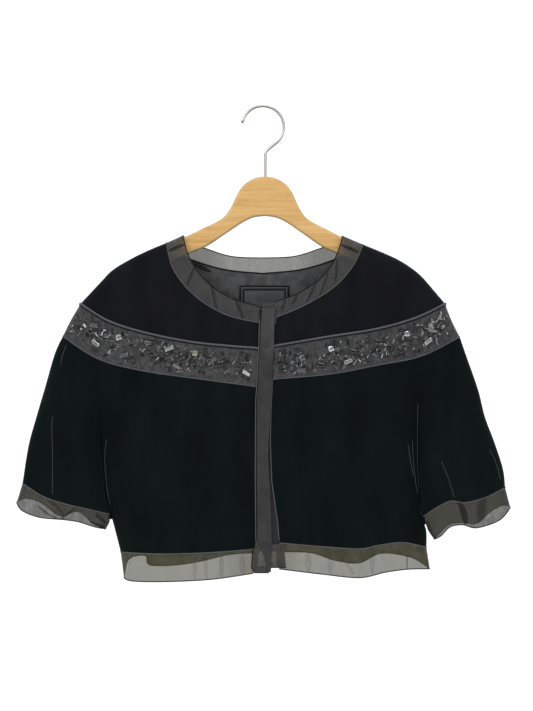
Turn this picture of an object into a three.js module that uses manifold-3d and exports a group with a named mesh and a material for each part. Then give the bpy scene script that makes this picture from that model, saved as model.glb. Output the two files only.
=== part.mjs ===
// A cropped collarless velvet jacket with a beaded yoke band and sheer edgings, hanging on a wooden hanger.
// Lengths are millimetres. X runs to the viewer's right, Y away from the viewer and Z up.
// The wearer's right side is at -X. The origin is the inside top of the hook, where a rail carries it.
import * as THREE from "three";
import { mergeVertices } from "three/addons/utils/BufferGeometryUtils.js";
import Module from "manifold-3d";

const wasm = await Module();
wasm.setup();

// Cloth walls and the gap at every seam
const VELVET_WALL = 1.8;
const SATIN_WALL = 1.2;
const SHEER_WALL = 1.0;
const SEAM_GAP = 0.3;
const LAYER_GAP = 0.4;
// The inner edge of a wall stands back by this share of its thickness, so that walls which bend at a
// seam keep apart
const EDGE_LEAN = 0.22;

// Rings round the shoulders, from the neck down: how far the front and the back stand out from the
// middle plane, and how square the fold is at the shoulder ridge (2 is an ellipse)
const RING = {
  neckEdge: { front: 24, back: 19, square: 2.8 },
  neckSeam: { front: 26, back: 21, square: 2.8 },
  bandTop: { front: 32, back: 27, square: 2.5 },
  bandBottom: { front: 34, back: 29, square: 2.4 },
};

// Sections below the band: the same measures at the underarm, the velvet's end and the sheer edge
const BODY = {
  underarm: { front: 38, back: 32, square: 2.2 },
  hem: { front: 35, back: 31, square: 2.1 },
  edge: { front: 38, back: 33, square: 2.1 },
};
const SLEEVE = {
  underarm: { front: 24, back: 22, square: 2.2 },
  hem: { front: 21, back: 19, square: 2.1 },
  edge: { front: 25, back: 22, square: 2.1 },
};

// Where each ring runs in the front view, from the centre to the shoulder ridge, as [x, z]
const FRONT_RINGS = {
  right: {
    neckEdge: { centre: [-4, -269], near: [-44, -257], middle: [-77, -234], far: [-98, -205], ridge: [-108, -173] },
    neckSeam: { centre: [-5, -291], near: [-50, -280], middle: [-91, -255], far: [-120, -220], ridge: [-130, -183] },
    bandTop: { centre: [-6, -325], near: [-85, -318], middle: [-150, -306], far: [-206, -289], ridge: [-246, -265] },
    bandBottom: { centre: [-8, -377], near: [-90, -366], middle: [-160, -356], far: [-221, -340], ridge: [-270, -309] },
  },
  left: {
    neckEdge: { centre: [17, -262], near: [48, -251], middle: [78, -231], far: [97, -205], ridge: [108, -173.5] },
    neckSeam: { centre: [17, -284], near: [57, -267], middle: [97, -242], far: [123, -212], ridge: [135, -185] },
    bandTop: { centre: [15, -322], near: [91, -309], middle: [153, -299], far: [206, -284], ridge: [246, -265] },
    bandBottom: { centre: [13, -367], near: [91, -360], middle: [155, -348], far: [213, -336], ridge: [266, -310] },
  },
};
const BACK_RINGS = {
  neckEdge: { centre: [0, -203], near: [42, -201], middle: [78, -190], far: [97, -182] },
  neckSeam: { centre: [0, -224], near: [50, -219], middle: [92, -207], far: [119, -194] },
  bandTop: { centre: [0, -313], near: [88, -306], middle: [152, -298], far: [207, -285] },
  bandBottom: { centre: [0, -362], near: [90, -356], middle: [158, -347], far: [218, -335] },
};

// Points between the named ends of each outline, as [x, z]
const OUTLINE = {
  right: {
    shoulder: [[-152, -192], [-175, -203], [-202, -219], [-218, -235], [-233, -251]],
    band: [[-259, -287]],
    armhole: [[-221, -385]],
    underarm: [-219.5, -436],
    side: [[-216.5, -476], [-213.5, -521], [-204, -554]],
    sideHem: [-192, -600],
    sideEdge: [-187.5, -635],
    sleeveInside: [[-218.5, -465], [-216.2, -495], [-213.2, -526]],
    sleeveInsideHem: [-208, -549],
    sleeveOutside: [[-281, -333], [-294, -378], [-304, -412], [-316, -456]],
    sleeveOutsideHem: [-324, -507],
    cuffFold: [[-206.5, -559]],
    cuffInside: [-211.5, -569],
    cuffOutside: [-332, -533],
  },
  left: {
    shoulder: [[171, -200], [192, -211], [212, -226], [230, -246]],
    band: [[255, -288]],
    armhole: [[211, -385]],
    underarm: [210.5, -436],
    side: [[211, -480], [213, -530], [216.5, -556], [221, -573]],
    sideHem: [221, -594],
    sideEdge: [225.5, -623],
    sleeveInside: [[212.3, -465], [213, -500]],
    sleeveInsideHem: [218, -552],
    sleeveOutside: [[275, -336], [291, -382], [300, -418], [313, -453], [324, -488]],
    sleeveOutsideHem: [327, -513],
    cuffFold: [[222.5, -570]],
    cuffInside: [231, -583],
    cuffOutside: [334, -540],
  },
};

// The velvet's front edges between the band and the hem, as [x, z]
const FRONT_EDGE = {
  right: [[-7.5, -400], [-7.5, -500]],
  left: [[11, -410], [10, -450], [12, -504], [20, -560]],
};

// Hems in the front view, from the centre or the inside of the arm outwards, as [x, z]
const HEMS = {
  right: {
    frontHem: [[-7, -595], [-70, -600], [-140, -602]],
    frontEdge: [[-13, -628], [-70, -636], [-130, -639.5], [-176, -639]],
    backHem: [[0, -573], [-60, -577], [-120, -588], [-165, -587]],
    backEdge: [[0, -602], [-45, -605], [-85, -614], [-135, -619], [-160, -608], [-178, -612]],
    sleeveFrontHem: [[-240, -541], [-265, -535], [-295, -525]],
    sleeveBackHem: [[-235, -528], [-262, -516], [-295, -508]],
    cuffFront: [[-226, -566], [-248, -559], [-268, -556], [-300, -553], [-324, -544]],
    cuffBack: [[-228, -563], [-250, -541], [-274, -552], [-300, -534], [-320, -528]],
  },
  left: {
    frontHem: [[22, -587], [80, -592], [130, -595], [158, -590], [190, -587]],
    frontEdge: [[22, -622], [80, -629], [130, -634], [165, -627], [195, -623]],
    backHem: [[0, -573], [60, -573], [120, -587], [165, -576], [200, -579]],
    backEdge: [[0, -602], [62, -602], [95, -612], [130, -616], [160, -603], [200, -608]],
    sleeveFrontHem: [[234, -540], [253, -531], [272, -533], [300, -526]],
    sleeveBackHem: [[236, -536], [262, -524], [296, -514]],
    cuffFront: [[240, -578], [252, -566], [269, -563], [288, -567], [318, -557]],
    cuffBack: [[246, -562], [272, -560], [294, -552], [308, -537], [325, -536]],
  },
};

// The front opening: edges of the strips as [x, z]
const PLACKET = {
  top: -271,
  bottom: -626,
  viewerLeft: [[-3, -271], [-6, -326], [-10, -400], [-10, -500], [-9, -591], [-15, -626]],
  viewerRight: [[16, -271], [15, -321], [10, -411], [7, -470], [10, -520], [12, -592], [11, -626]],
  tuck: { z: -305, height: 0.8, width: 4 },
};
const UNDERLAP = { top: -264, bottom: -622, cover: 4, clear: 0.8 };

// The largest soft folds, as ridges (or troughs, with a negative height) between two points
const FOLDS = [
  { face: "front", x0: 192, z0: -360, x1: 204, z1: -560, width: 7, height: 2.4 },
  { face: "front", x0: 176, z0: -380, x1: 190, z1: -520, width: 9, height: -1.8 },
  { face: "front", x0: 120, z0: -420, x1: 128, z1: -610, width: 26, height: 2.6 },
  { face: "front", x0: -196, z0: -460, x1: -172, z1: -585, width: 10, height: 2.2 },
  { face: "front", x0: -60, z0: -420, x1: -66, z1: -620, width: 34, height: 2.0 },
  { face: "front", x0: -262, z0: -350, x1: -284, z1: -520, width: 7, height: 2.2 },
  { face: "front", x0: 236, z0: -440, x1: 258, z1: -530, width: 7, height: -2.6 },
  { face: "front", x0: 268, z0: -400, x1: 284, z1: -520, width: 12, height: 2.0 },
  { face: "back", x0: -110, z0: -400, x1: -122, z1: -600, width: 30, height: 2.6 },
  { face: "back", x0: 40, z0: -380, x1: 44, z1: -600, width: 34, height: -2.2 },
  { face: "back", x0: 168, z0: -380, x1: 178, z1: -590, width: 16, height: 2.6 },
  { face: "back", x0: -262, z0: -370, x1: -280, z1: -500, width: 12, height: 2.0 },
  { face: "back", x0: 262, z0: -370, x1: 276, z1: -500, width: 12, height: -2.0 },
];

// The upper sleeve grows out of this share of the band's lower ring, and ends level with these shares
// of its length at the underarm
const ARMHOLE_AT = { right: 0.785, left: 0.79 };
const UNDERARM_AT = { body: 0.36, sleeve: 0.44 };
const SLEEVE_FORWARD = 7;

// The seam down the outside of each sleeve: its place across the sleeve at the band and at the cuff,
// from 0 at the inside fold to 1 at the outside fold
const OVERARM_SEAM = {
  right: { band: 0.86, cuff: 0.64 },
  left: { band: 1, cuff: 1 },
};

// Waves in the sheer edgings, growing from nothing at the seam
const HEM_WAVE = { count: 3.5, height: 3.2 };
const CUFF_WAVE = { count: 3, height: 2.4 };
const NECK_TUCK = { count: 7, height: 0.5 };

// A corded edge stands up along the seams
const CORD = { height: 1.1, width: 2.6 };

// Cut stones sewn to the band: length, width and height
const STONE = {
  baguette: { length: 12, width: 6, height: 2.8 },
  square: { length: 7.5, width: 7.5, height: 2.8 },
};
const STONE_SINK = 0.7;
const STONE_TABLE = 0.62;
// Where each stone is sewn: how far across, how far up the band's height, and its turn in degrees.
// The back carries the same stones as the fronts.
const STONES = {
  right: [
    { kind: "baguette", x: -22, up: 0.32, turn: -32 },
    { kind: "baguette", x: -24, up: 0.68, turn: -62 },
    { kind: "baguette", x: -58, up: 0.47, turn: 4 },
    { kind: "square", x: -91, up: 0.7, turn: -8 },
    { kind: "square", x: -95, up: 0.42, turn: 20 },
    { kind: "baguette", x: -116, up: 0.26, turn: -32 },
    { kind: "baguette", x: -126, up: 0.71, turn: 20 },
    { kind: "square", x: -149, up: 0.49, turn: 15 },
    { kind: "baguette", x: -187, up: 0.29, turn: 12 },
    { kind: "square", x: -194, up: 0.69, turn: 10 },
    { kind: "baguette", x: -225, up: 0.33, turn: -35 },
    { kind: "baguette", x: -228, up: 0.7, turn: -5 },
  ],
  left: [
    { kind: "square", x: 26, up: 0.72, turn: 40 },
    { kind: "square", x: 53, up: 0.53, turn: 20 },
    { kind: "baguette", x: 78, up: 0.28, turn: -15 },
    { kind: "square", x: 92, up: 0.67, turn: 18 },
    { kind: "baguette", x: 115, up: 0.26, turn: 22 },
    { kind: "baguette", x: 122, up: 0.5, turn: -12 },
    { kind: "square", x: 155, up: 0.63, turn: 2 },
    { kind: "square", x: 156, up: 0.38, turn: 5 },
    { kind: "baguette", x: 183, up: 0.29, turn: -20 },
    { kind: "square", x: 194, up: 0.67, turn: 2 },
    { kind: "baguette", x: 223, up: 0.3, turn: 38 },
    { kind: "square", x: 226, up: 0.64, turn: 6 },
  ],
};

// The hanger: half of its outline as [x, z] from the stem outwards
const HANGER = {
  x: 3.6,
  tilt: 0.55,
  thickness: 12,
  roundOver: 3,
  top: [[0, -93], [12, -95], [22, -99.5], [31, -107], [38, -118], [46, -135], [55, -148], [68, -156.5], [84, -164.3]],
  arm: [[104, -174.3], [128, -185.1], [150, -194.8], [170, -205.2]],
  tip: [[182, -216], [181, -227]],
  under: [[170, -229], [130, -211], [98, -197], [76, -187], [48, -168], [30, -156], [15, -149], [0, -147]],
};
const HOOK = { wire: 4, bend: 28.3, tipAngle: 170, endAngle: -46, kink: [4, -59.5], stemFoot: -106, bore: 0.3 };

// The label inside the back neck
const LABEL = { left: -31, right: 35, top: -241, height: 34, wall: 0.8, frame: 3.5, frameHeight: 0.5 };

const COLOUR = { velvet: 0x0e1114, trim: 0x4a4a46, band: 0x2b2b2d, satin: 0x2c2c2e, wood: 0xd9a566, steel: 0xb9b9bb };
const finish = {
  velvet: new THREE.MeshStandardMaterial({ color: COLOUR.velvet, roughness: 0.95, metalness: 0 }),
  trim: new THREE.MeshStandardMaterial({ color: COLOUR.trim, roughness: 0.7, metalness: 0 }),
  band: new THREE.MeshStandardMaterial({ color: COLOUR.band, roughness: 0.55, metalness: 0 }),
  satin: new THREE.MeshStandardMaterial({ color: COLOUR.satin, roughness: 0.4, metalness: 0 }),
  wood: new THREE.MeshStandardMaterial({ color: COLOUR.wood, roughness: 0.5, metalness: 0 }),
  steel: new THREE.MeshStandardMaterial({ color: COLOUR.steel, roughness: 0.25, metalness: 1 }),
};

const jacket = new THREE.Group();
const { lerp, clamp, degToRad } = THREE.MathUtils;
const flat = ([x, z]) => new THREE.Vector2(x, z);
const toward = { front: -1, back: 1 };
const signOf = { right: -1, left: 1 };

function add(name, geometry, material) {
  const mesh = new THREE.Mesh(geometry, material);
  mesh.name = name;
  jacket.add(mesh);
}

// A smooth line through [x, z] points, read by its share of length
function line(points) {
  const curve = new THREE.SplineCurve(points.map(flat));
  return (share) => curve.getPointAt(clamp(share, 0, 1));
}

// One line and then another, the first ending at the share `at`
const joined = (first, second, at) => (share) =>
  share < at ? first(share / at) : second((share - at) / (1 - at));

// A patch in the front view between four lines: a runs outwards, b runs downwards
function patch(top, bottom, inner, outer) {
  return (a, b) => {
    const across = top(a).lerp(bottom(a), b);
    const down = inner(b).lerp(outer(b), a);
    const corners = top(0).lerp(top(1), a).lerp(bottom(0).lerp(bottom(1), a), b);
    return across.add(down).sub(corners);
  };
}

// Height of all the folds of one face at a place in the front view
function foldHeight(face, x, z) {
  let height = 0;
  for (const fold of FOLDS) {
    if (fold.face !== face) continue;
    const [dx, dz] = [fold.x1 - fold.x0, fold.z1 - fold.z0];
    const length = Math.hypot(dx, dz);
    const share = ((x - fold.x0) * dx + (z - fold.z0) * dz) / length ** 2;
    if (share <= 0 || share >= 1.3) continue;
    const off = ((x - fold.x0) * dz - (z - fold.z0) * dx) / length;
    height += fold.height * Math.exp(-((off / fold.width) ** 2)) * Math.sin((Math.PI * share) / 1.3);
  }
  return height;
}

// The angle short of a fold at which a section still stands half a seam gap off the middle plane
const seamAngle = (depth, square) => Math.asin((SEAM_GAP / 2 / depth) ** (square / 2));

const between = (from, to, share) => ({
  front: lerp(from.front, to.front, share),
  back: lerp(from.back, to.back, share),
  square: lerp(from.square, to.square, share),
});

// The lines of a ring on one face and one side, from the centre to the ridge
function ringLine(face, side, name) {
  const ridge = FRONT_RINGS[side][name].ridge;
  if (face === "front") {
    const { centre, near, middle, far } = FRONT_RINGS[side][name];
    return line([centre, near, middle, far, ridge]);
  }
  const { centre, near, middle, far } = BACK_RINGS[name];
  const mirrored = [centre, near, middle, far].map(([x, z]) => [x * signOf[side], z]);
  return line([...mirrored, ridge]);
}

// A part of the yoke between two rings. s runs from the centre to the ridge, b down.
function ringSurface(face, side, upper, lower, ridgePoints) {
  const top = ringLine(face, side, upper);
  const bottom = ringLine(face, side, lower);
  const outer = line([FRONT_RINGS[side][upper].ridge, ...ridgePoints, FRONT_RINGS[side][lower].ridge]);
  const inner = (b) => top(0).lerp(bottom(0), b);
  const place = patch(top, bottom, inner, outer);
  return (s, b) => {
    const section = between(RING[upper], RING[lower], b);
    const depth = section[face];
    const angle = s * (Math.PI / 2 - seamAngle(depth, section.square));
    const a = Math.sin(angle) ** (2 / section.square);
    const swell = depth * Math.cos(angle) ** (2 / section.square);
    const at = place(a, b);
    const fold = foldHeight(face, at.x, at.y) * Math.cos(angle);
    return onSurface(at, toward[face], swell, fold);
  };
}

// A cloth point: its place in the front view, and its swell and fold in depth
function onSurface(at, facing, swell, fold = 0, middle = 0) {
  const point = new THREE.Vector3(at.x, middle + facing * (swell + fold), at.y);
  point.onFold = swell < 0.5;
  return point;
}

// Depth on the band's lower ring, carried down the armhole
function ringDepth(face, share) {
  const { square } = RING.bandBottom;
  return RING.bandBottom[face] * (1 - Math.min(share, 1) ** square) ** (1 / square);
}

const armholeLine = (face, side) => {
  const start = ringLine(face, side, "bandBottom")(ARMHOLE_AT[side]);
  return line([[start.x, start.y], ...OUTLINE[side].armhole, OUTLINE[side].underarm]);
};

// Moves a line sideways in the front view by part of the seam gap
const shifted = (curve, dx) => (share) => curve(share).add(new THREE.Vector2(dx, 0));

// The body below the band on one side. s runs from the centre to the side seam, b down to the hem.
function bodySurface(face, side) {
  const outline = OUTLINE[side];
  const armhole = ARMHOLE_AT[side];
  const ring = ringLine(face, side, "bandBottom");
  const top = (a) => ring(a * armhole);
  const hemPoints = HEMS[side][face === "front" ? "frontHem" : "backHem"];
  const bottom = line([...hemPoints, outline.sideHem]);
  const outer = shifted(
    joined(armholeLine(face, side), line([outline.underarm, ...outline.side, outline.sideHem]), UNDERARM_AT.body),
    -signOf[side] * (SEAM_GAP / 2),
  );
  const centre = line([[top(0).x, top(0).y], ...centrePoints(face, side), hemPoints[0]]);
  const place = patch(top, bottom, centre, outer);
  return (s, b) => {
    const t = clamp(b / UNDERARM_AT.body, 0, 1);
    const lower = clamp((b - UNDERARM_AT.body) / (1 - UNDERARM_AT.body), 0, 1);
    const section = between(BODY.underarm, BODY.hem, lower);
    const depth = section[face];
    const angle = s * (Math.PI / 2 - seamAngle(depth, section.square));
    const a = Math.sin(angle) ** (2 / section.square);
    const tube = depth * Math.cos(angle) ** (2 / section.square);
    const swell = Math.hypot(Math.sqrt(1 - t) * ringDepth(face, a * armhole), Math.sqrt(t) * tube);
    const at = place(a, b);
    const fold = foldHeight(face, at.x, at.y) * Math.cos(angle);
    return onSurface(at, toward[face], swell, fold);
  };
}

// Points of the centre edge between the band and the hem
const centrePoints = (face, side) => (face === "back" ? [[0, -450]] : FRONT_EDGE[side]);

// A sleeve on one side. phi runs round it: 0 inside, pi at the outside fold and 2 pi inside again,
// the front first; c runs from the band down to the velvet's end.
function sleeveSurface(side) {
  const outline = OUTLINE[side];
  const armhole = ARMHOLE_AT[side];
  const outer = line([
    FRONT_RINGS[side].bandBottom.ridge,
    ...outline.sleeveOutside,
    outline.sleeveOutsideHem,
  ]);
  const inside = line([outline.underarm, ...outline.sleeveInside, outline.sleeveInsideHem]);
  const places = {};
  for (const face of ["front", "back"]) {
    const ring = ringLine(face, side, "bandBottom");
    const top = (w) => ring(lerp(armhole, 1, w));
    const hemPoints = HEMS[side][face === "front" ? "sleeveFrontHem" : "sleeveBackHem"];
    const bottom = line([outline.sleeveInsideHem, ...hemPoints, outline.sleeveOutsideHem]);
    const inner = shifted(
      joined(armholeLine(face, side), inside, UNDERARM_AT.sleeve),
      signOf[side] * (SEAM_GAP / 2),
    );
    places[face] = patch(top, bottom, inner, outer);
  }
  return (phi, c) => {
    const t = clamp(c / UNDERARM_AT.sleeve, 0, 1);
    const lower = clamp((c - UNDERARM_AT.sleeve) / (1 - UNDERARM_AT.sleeve), 0, 1);
    const section = between(SLEEVE.underarm, SLEEVE.hem, lower);
    const face = phi <= Math.PI ? "front" : "back";
    const across = acrossTube(phi, section.square);
    const tube = tubeDepth(section, face, phi);
    const share = lerp(armhole, 1, across);
    const swell = Math.hypot(Math.sqrt(1 - t) * ringDepth(face, share), Math.sqrt(t) * tube);
    const at = places[face](across, c);
    const fold = foldHeight(face, at.x, at.y) * Math.abs(Math.sin(phi));
    return onSurface(at, toward[face], swell, fold, sleeveMiddle(lower));
  };
}

// How far forward the sleeve's middle plane hangs below the underarm
const sleeveMiddle = (lower) => -SLEEVE_FORWARD * THREE.MathUtils.smoothstep(lower, 0, 0.9);

// Place across a tube, from 0 at its inside fold to 1 outside, for an angle round it
function acrossTube(phi, square) {
  const cosine = -Math.cos(phi);
  return (1 + Math.sign(cosine) * Math.abs(cosine) ** (2 / square)) / 2;
}

const tubeDepth = (section, face, phi) => section[face] * Math.abs(Math.sin(phi)) ** (2 / section.square);

// A closed wall from a grid of outer points: grid[i][j], i across and j down
function wall(grid, thickness) {
  const columns = grid.length;
  const rows = grid[0].length;
  const positions = [];
  const indices = [];
  const outward = grid.map((column, i) => column.map((_, j) => normalAt(grid, i, j)));
  for (const layer of [0, thickness]) {
    for (let i = 0; i < columns; i++) {
      for (let j = 0; j < rows; j++) {
        const raise = layer === 0 ? grid[i][j].raise ?? 0 : -layer;
        const point = grid[i][j].clone().addScaledVector(outward[i][j], raise);
        if (layer) point.addScaledVector(inFromEdge(grid, i, j), EDGE_LEAN * thickness);
        positions.push(...point.toArray());
      }
    }
  }
  const outer = (i, j) => i * rows + j;
  const inner = (i, j) => columns * rows + i * rows + j;
  const quad = (a, b, c, d) => indices.push(a, b, c, a, c, d);
  for (let i = 0; i < columns - 1; i++) {
    for (let j = 0; j < rows - 1; j++) {
      quad(outer(i, j), outer(i, j + 1), outer(i + 1, j + 1), outer(i + 1, j));
      quad(inner(i, j), inner(i + 1, j), inner(i + 1, j + 1), inner(i, j + 1));
    }
    quad(outer(i, 0), outer(i + 1, 0), inner(i + 1, 0), inner(i, 0));
    quad(outer(i + 1, rows - 1), outer(i, rows - 1), inner(i, rows - 1), inner(i + 1, rows - 1));
  }
  for (let j = 0; j < rows - 1; j++) {
    quad(outer(0, j + 1), outer(0, j), inner(0, j), inner(0, j + 1));
    quad(outer(columns - 1, j), outer(columns - 1, j + 1), inner(columns - 1, j + 1), inner(columns - 1, j));
  }
  const geometry = new THREE.BufferGeometry();
  geometry.setAttribute("position", new THREE.Float32BufferAttribute(positions, 3));
  geometry.setIndex(indices);
  return geometry;
}

// The direction from an edge of the grid to its inside, and nothing away from the edges
function inFromEdge(grid, i, j) {
  const to = new THREE.Vector3();
  const [columns, rows] = [grid.length, grid[0].length];
  const step = (i1, j1) => to.add(grid[i1][j1].clone().sub(grid[i][j]).normalize());
  if (i === 0) step(1, j);
  if (i === columns - 1) step(i - 1, j);
  if (j === 0) step(i, 1);
  if (j === rows - 1) step(i, j - 1);
  return to;
}

// The outward direction at a grid point; a point on a fold of the middle plane faces within that plane
function normalAt(grid, i, j) {
  const columns = grid.length;
  const rows = grid[0].length;
  const across = grid[Math.min(i + 1, columns - 1)][j].clone().sub(grid[Math.max(i - 1, 0)][j]);
  const down = grid[i][Math.min(j + 1, rows - 1)].clone().sub(grid[i][Math.max(j - 1, 0)]);
  const normal = down.cross(across);
  if (grid[i][j].onFold) normal.y = 0;
  return normal.normalize();
}

// Even shares from 0 to 1
const even = (count) => Array.from({ length: count + 1 }, (_, i) => i / count);

// Samples a surface into a grid. The columns are taken from the viewer's left to right on the front
// and the other way on the back, so that outwards is always down x across.
const sample = (surface, columns, rows) => columns.map((s) => rows.map((b) => surface(s, b)));

// Shares down a panel of the given height that keep half a seam gap at both ends
function insetRows(rows, height) {
  const inset = SEAM_GAP / 2 / height;
  return rows.map((b) => lerp(inset, 1 - inset, b));
}

// Both sides of the back in one surface: s from -1 at the right ridge to 1 at the left
const wholeBack = (makeSide) => {
  const sides = { right: makeSide("right"), left: makeSide("left") };
  return (s, b) => (s < 0 ? sides.right(-s, b) : sides.left(s, b));
};

const solidOf = (geometry) => {
  const bare = geometry.clone();
  bare.deleteAttribute("normal");
  bare.deleteAttribute("uv");
  const merged = mergeVertices(bare, 1e-4);
  return new wasm.Manifold(
    new wasm.Mesh({
      numProp: 3,
      vertProperties: merged.attributes.position.array,
      triVerts: new Uint32Array(merged.index.array),
    }),
  );
};
const geometryOf = (solid) => {
  const mesh = solid.getMesh();
  const geometry = new THREE.BufferGeometry();
  geometry.setAttribute("position", new THREE.BufferAttribute(mesh.vertProperties, 3));
  geometry.setIndex(new THREE.BufferAttribute(mesh.triVerts, 1));
  return geometry;
};

// Columns and rows of the panels
const BODY_COLUMNS = 11;
const YOKE_ROWS = 4;
const BODY_ROWS = { armhole: 5, lower: 6 };
const SLEEVE_COLUMNS = { front_right: 8, back_right: 12, front_left: 9, back_left: 9 };
const SLEEVE_ROWS = { armhole: 5, lower: 5 };

// Rows that crowd towards the underarm and reach on to the hem
function rowsByUnderarm(at, { armhole, lower }) {
  const upper = even(armhole).map((s) => at * Math.sin((s * Math.PI) / 2));
  return [...upper, ...even(lower).slice(1).map((s) => lerp(at, 1, s))];
}

// The angle of the overarm seam at c, and how far each piece keeps from it
const FOLD_ANGLE = seamAngle(SLEEVE.hem.back, SLEEVE.hem.square);
const SEAM_ANGLE = 0.009;
const angleAcross = (w, square) => Math.acos(-Math.sign(2 * w - 1) * Math.abs(2 * w - 1) ** (square / 2));
function overarm(side, c) {
  const { band, cuff } = OVERARM_SEAM[side];
  if (band === 1) return { angle: Math.PI, keep: FOLD_ANGLE };
  return { angle: angleAcross(lerp(band, cuff, c), SLEEVE.hem.square), keep: SEAM_ANGLE };
}

// The angles of a sleeve piece's columns at c
function sleeveAngles(face, side, c) {
  const { angle, keep } = overarm(side, c);
  const [from, to] = face === "front" ? [FOLD_ANGLE, angle - keep] : [angle + keep, 2 * Math.PI - FOLD_ANGLE];
  return even(SLEEVE_COLUMNS[`${face}_${side}`]).map((s) => lerp(from, to, s));
}

// Shares of the band's lower ring where the columns of the body and of the sleeve end, on one face
function ringShares(face, side) {
  const { square } = BODY.underarm;
  const reach = Math.PI / 2 - seamAngle(BODY.underarm[face], square);
  const body = even(BODY_COLUMNS).map((s) => ARMHOLE_AT[side] * Math.sin(s * reach) ** (2 / square));
  const angles = [...sleeveAngles("front", side, 0), ...sleeveAngles("back", side, 0)];
  const sleeve = angles
    .filter((phi) => (face === "front") === phi < Math.PI)
    .map((phi) => lerp(ARMHOLE_AT[side], 1, acrossTube(phi, SLEEVE.underarm.square)));
  const shares = [...body, ...sleeve, 1].sort((p, q) => p - q);
  return shares.filter((share, i) => i === 0 || share - shares[i - 1] > 0.003 || share === 1);
}

// The same places as shares of a section's angle
function ringColumns(face, side, square, depth) {
  const reach = Math.PI / 2 - seamAngle(depth, square);
  return ringShares(face, side).map((share) => Math.min(Math.asin(share ** (square / 2)) / reach, 1));
}

// A front's columns run from the viewer's left to the right, and a back's the other way
const frontOrder = (side, columns) => (side === "left" ? columns : [...columns].reverse());
const backOrder = (right, left) => [...[...left].reverse(), ...right.slice(1).map((s) => -s)];
const halfColumns = (side, count) => frontOrder(side, even(count));
const backColumns = (count) => backOrder(even(count), even(count));
const ringFront = (side) => frontOrder(side, ringColumns("front", side, RING.bandTop.square, RING.bandTop.front));
const ringBack = backOrder(
  ringColumns("back", "right", RING.bandTop.square, RING.bandTop.back),
  ringColumns("back", "left", RING.bandTop.square, RING.bandTop.back),
);

// Yoke
const YOKE_HEIGHT = 60;
for (const side of ["right", "left"]) {
  const surface = ringSurface("front", side, "neckSeam", "bandTop", OUTLINE[side].shoulder);
  const grid = sample(surface, ringFront(side), insetRows(even(YOKE_ROWS), YOKE_HEIGHT));
  add(`yoke_front_${side}`, wall(grid, VELVET_WALL), finish.velvet);
}
const yokeBack = wholeBack((side) => ringSurface("back", side, "neckSeam", "bandTop", OUTLINE[side].shoulder));
add(
  "yoke_back",
  wall(sample(yokeBack, ringBack, insetRows(even(YOKE_ROWS), YOKE_HEIGHT)), VELVET_WALL),
  finish.velvet,
);

// Raises the rows that carry a cord along one or both edges of a strip
function corded(surface, height, edges) {
  const shares = edges.map((edge) => [edge, CORD.width / height]);
  return (s, b) => {
    const point = surface(s, b);
    for (const [edge, width] of shares) {
      const off = Math.abs(b - edge) / width;
      if (off < 1) point.raise = CORD.height * Math.sin(Math.PI * Math.min(0.25 + 0.75 * off, 1));
    }
    return point;
  };
}

// Rows of a strip with a cord at the named ends
function cordRows(height, edges, middle) {
  const width = CORD.width / height;
  const rows = new Set([0, 1, ...even(middle).map((s) => lerp(width, 1 - width, s))]);
  for (const edge of edges) for (const share of [0.35, 0.7]) rows.add(edge === 0 ? width * share : 1 - width * share);
  return [...rows].sort((p, q) => p - q);
}

// A stone's solid, standing on the surface at (s, b). A positive turn lifts its end towards +X.
function stoneAt(surface, s, b, stone) {
  const { length, width, height } = STONE[stone.kind];
  const step = 0.01;
  const point = surface(s, b);
  const along = surface(Math.min(s + step, 1), b).sub(surface(Math.max(s - step, 0), b)).normalize();
  if (along.x < 0) along.negate();
  const down = surface(s, b + step).sub(surface(s, b - step));
  const normal = down.cross(along).normalize();
  if (normal.y * point.y < 0) normal.negate();
  along.applyAxisAngle(normal, degToRad(stone.turn) * -Math.sign(point.y));
  const cut = new THREE.CylinderGeometry(STONE_TABLE * Math.SQRT1_2, Math.SQRT1_2, height + STONE_SINK, 4);
  cut.rotateY(Math.PI / 4);
  cut.scale(length, 1, width);
  cut.translate(0, (height - STONE_SINK) / 2, 0);
  const basis = new THREE.Matrix4().makeBasis(along, normal, along.clone().cross(normal));
  return solidOf(cut.applyMatrix4(basis.setPosition(point)));
}

// The share along a strip, from its centre to its ridge, at which it stands x from the middle
function shareAtX(surface, x, b) {
  let [near, far] = [0, 1];
  for (let i = 0; i < 20; i++) {
    const middle = (near + far) / 2;
    if (Math.abs(surface(middle, b).x) < Math.abs(x)) near = middle;
    else far = middle;
  }
  return near;
}

// The band's strip with the stones of one side joined to it
function stoned(solid, surface, stones) {
  for (const stone of stones) {
    const b = 1 - stone.up;
    solid = solid.add(stoneAt(surface, shareAtX(surface, stone.x, b), b, stone));
  }
  return solid;
}

// Beaded band
const BAND_HEIGHT = 50;
const bandRows = insetRows(cordRows(BAND_HEIGHT, [0, 1], 2), BAND_HEIGHT);
const bandSide = (face, side) => ringSurface(face, side, "bandTop", "bandBottom", OUTLINE[side].band);
for (const side of ["right", "left"]) {
  const surface = bandSide("front", side);
  const strip = wall(sample(corded(surface, BAND_HEIGHT, [0, 1]), ringFront(side), bandRows), SATIN_WALL);
  add(`band_front_${side}`, geometryOf(stoned(solidOf(strip), surface, STONES[side])), finish.band);
}
const bandBack = wholeBack((side) => bandSide("back", side));
const backStrip = wall(sample(corded(bandBack, BAND_HEIGHT, [0, 1]), ringBack, bandRows), SATIN_WALL);
let backSolid = solidOf(backStrip);
for (const side of ["right", "left"]) backSolid = stoned(backSolid, bandSide("back", side), STONES[side]);
add("band_back", geometryOf(backSolid), finish.band);

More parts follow.
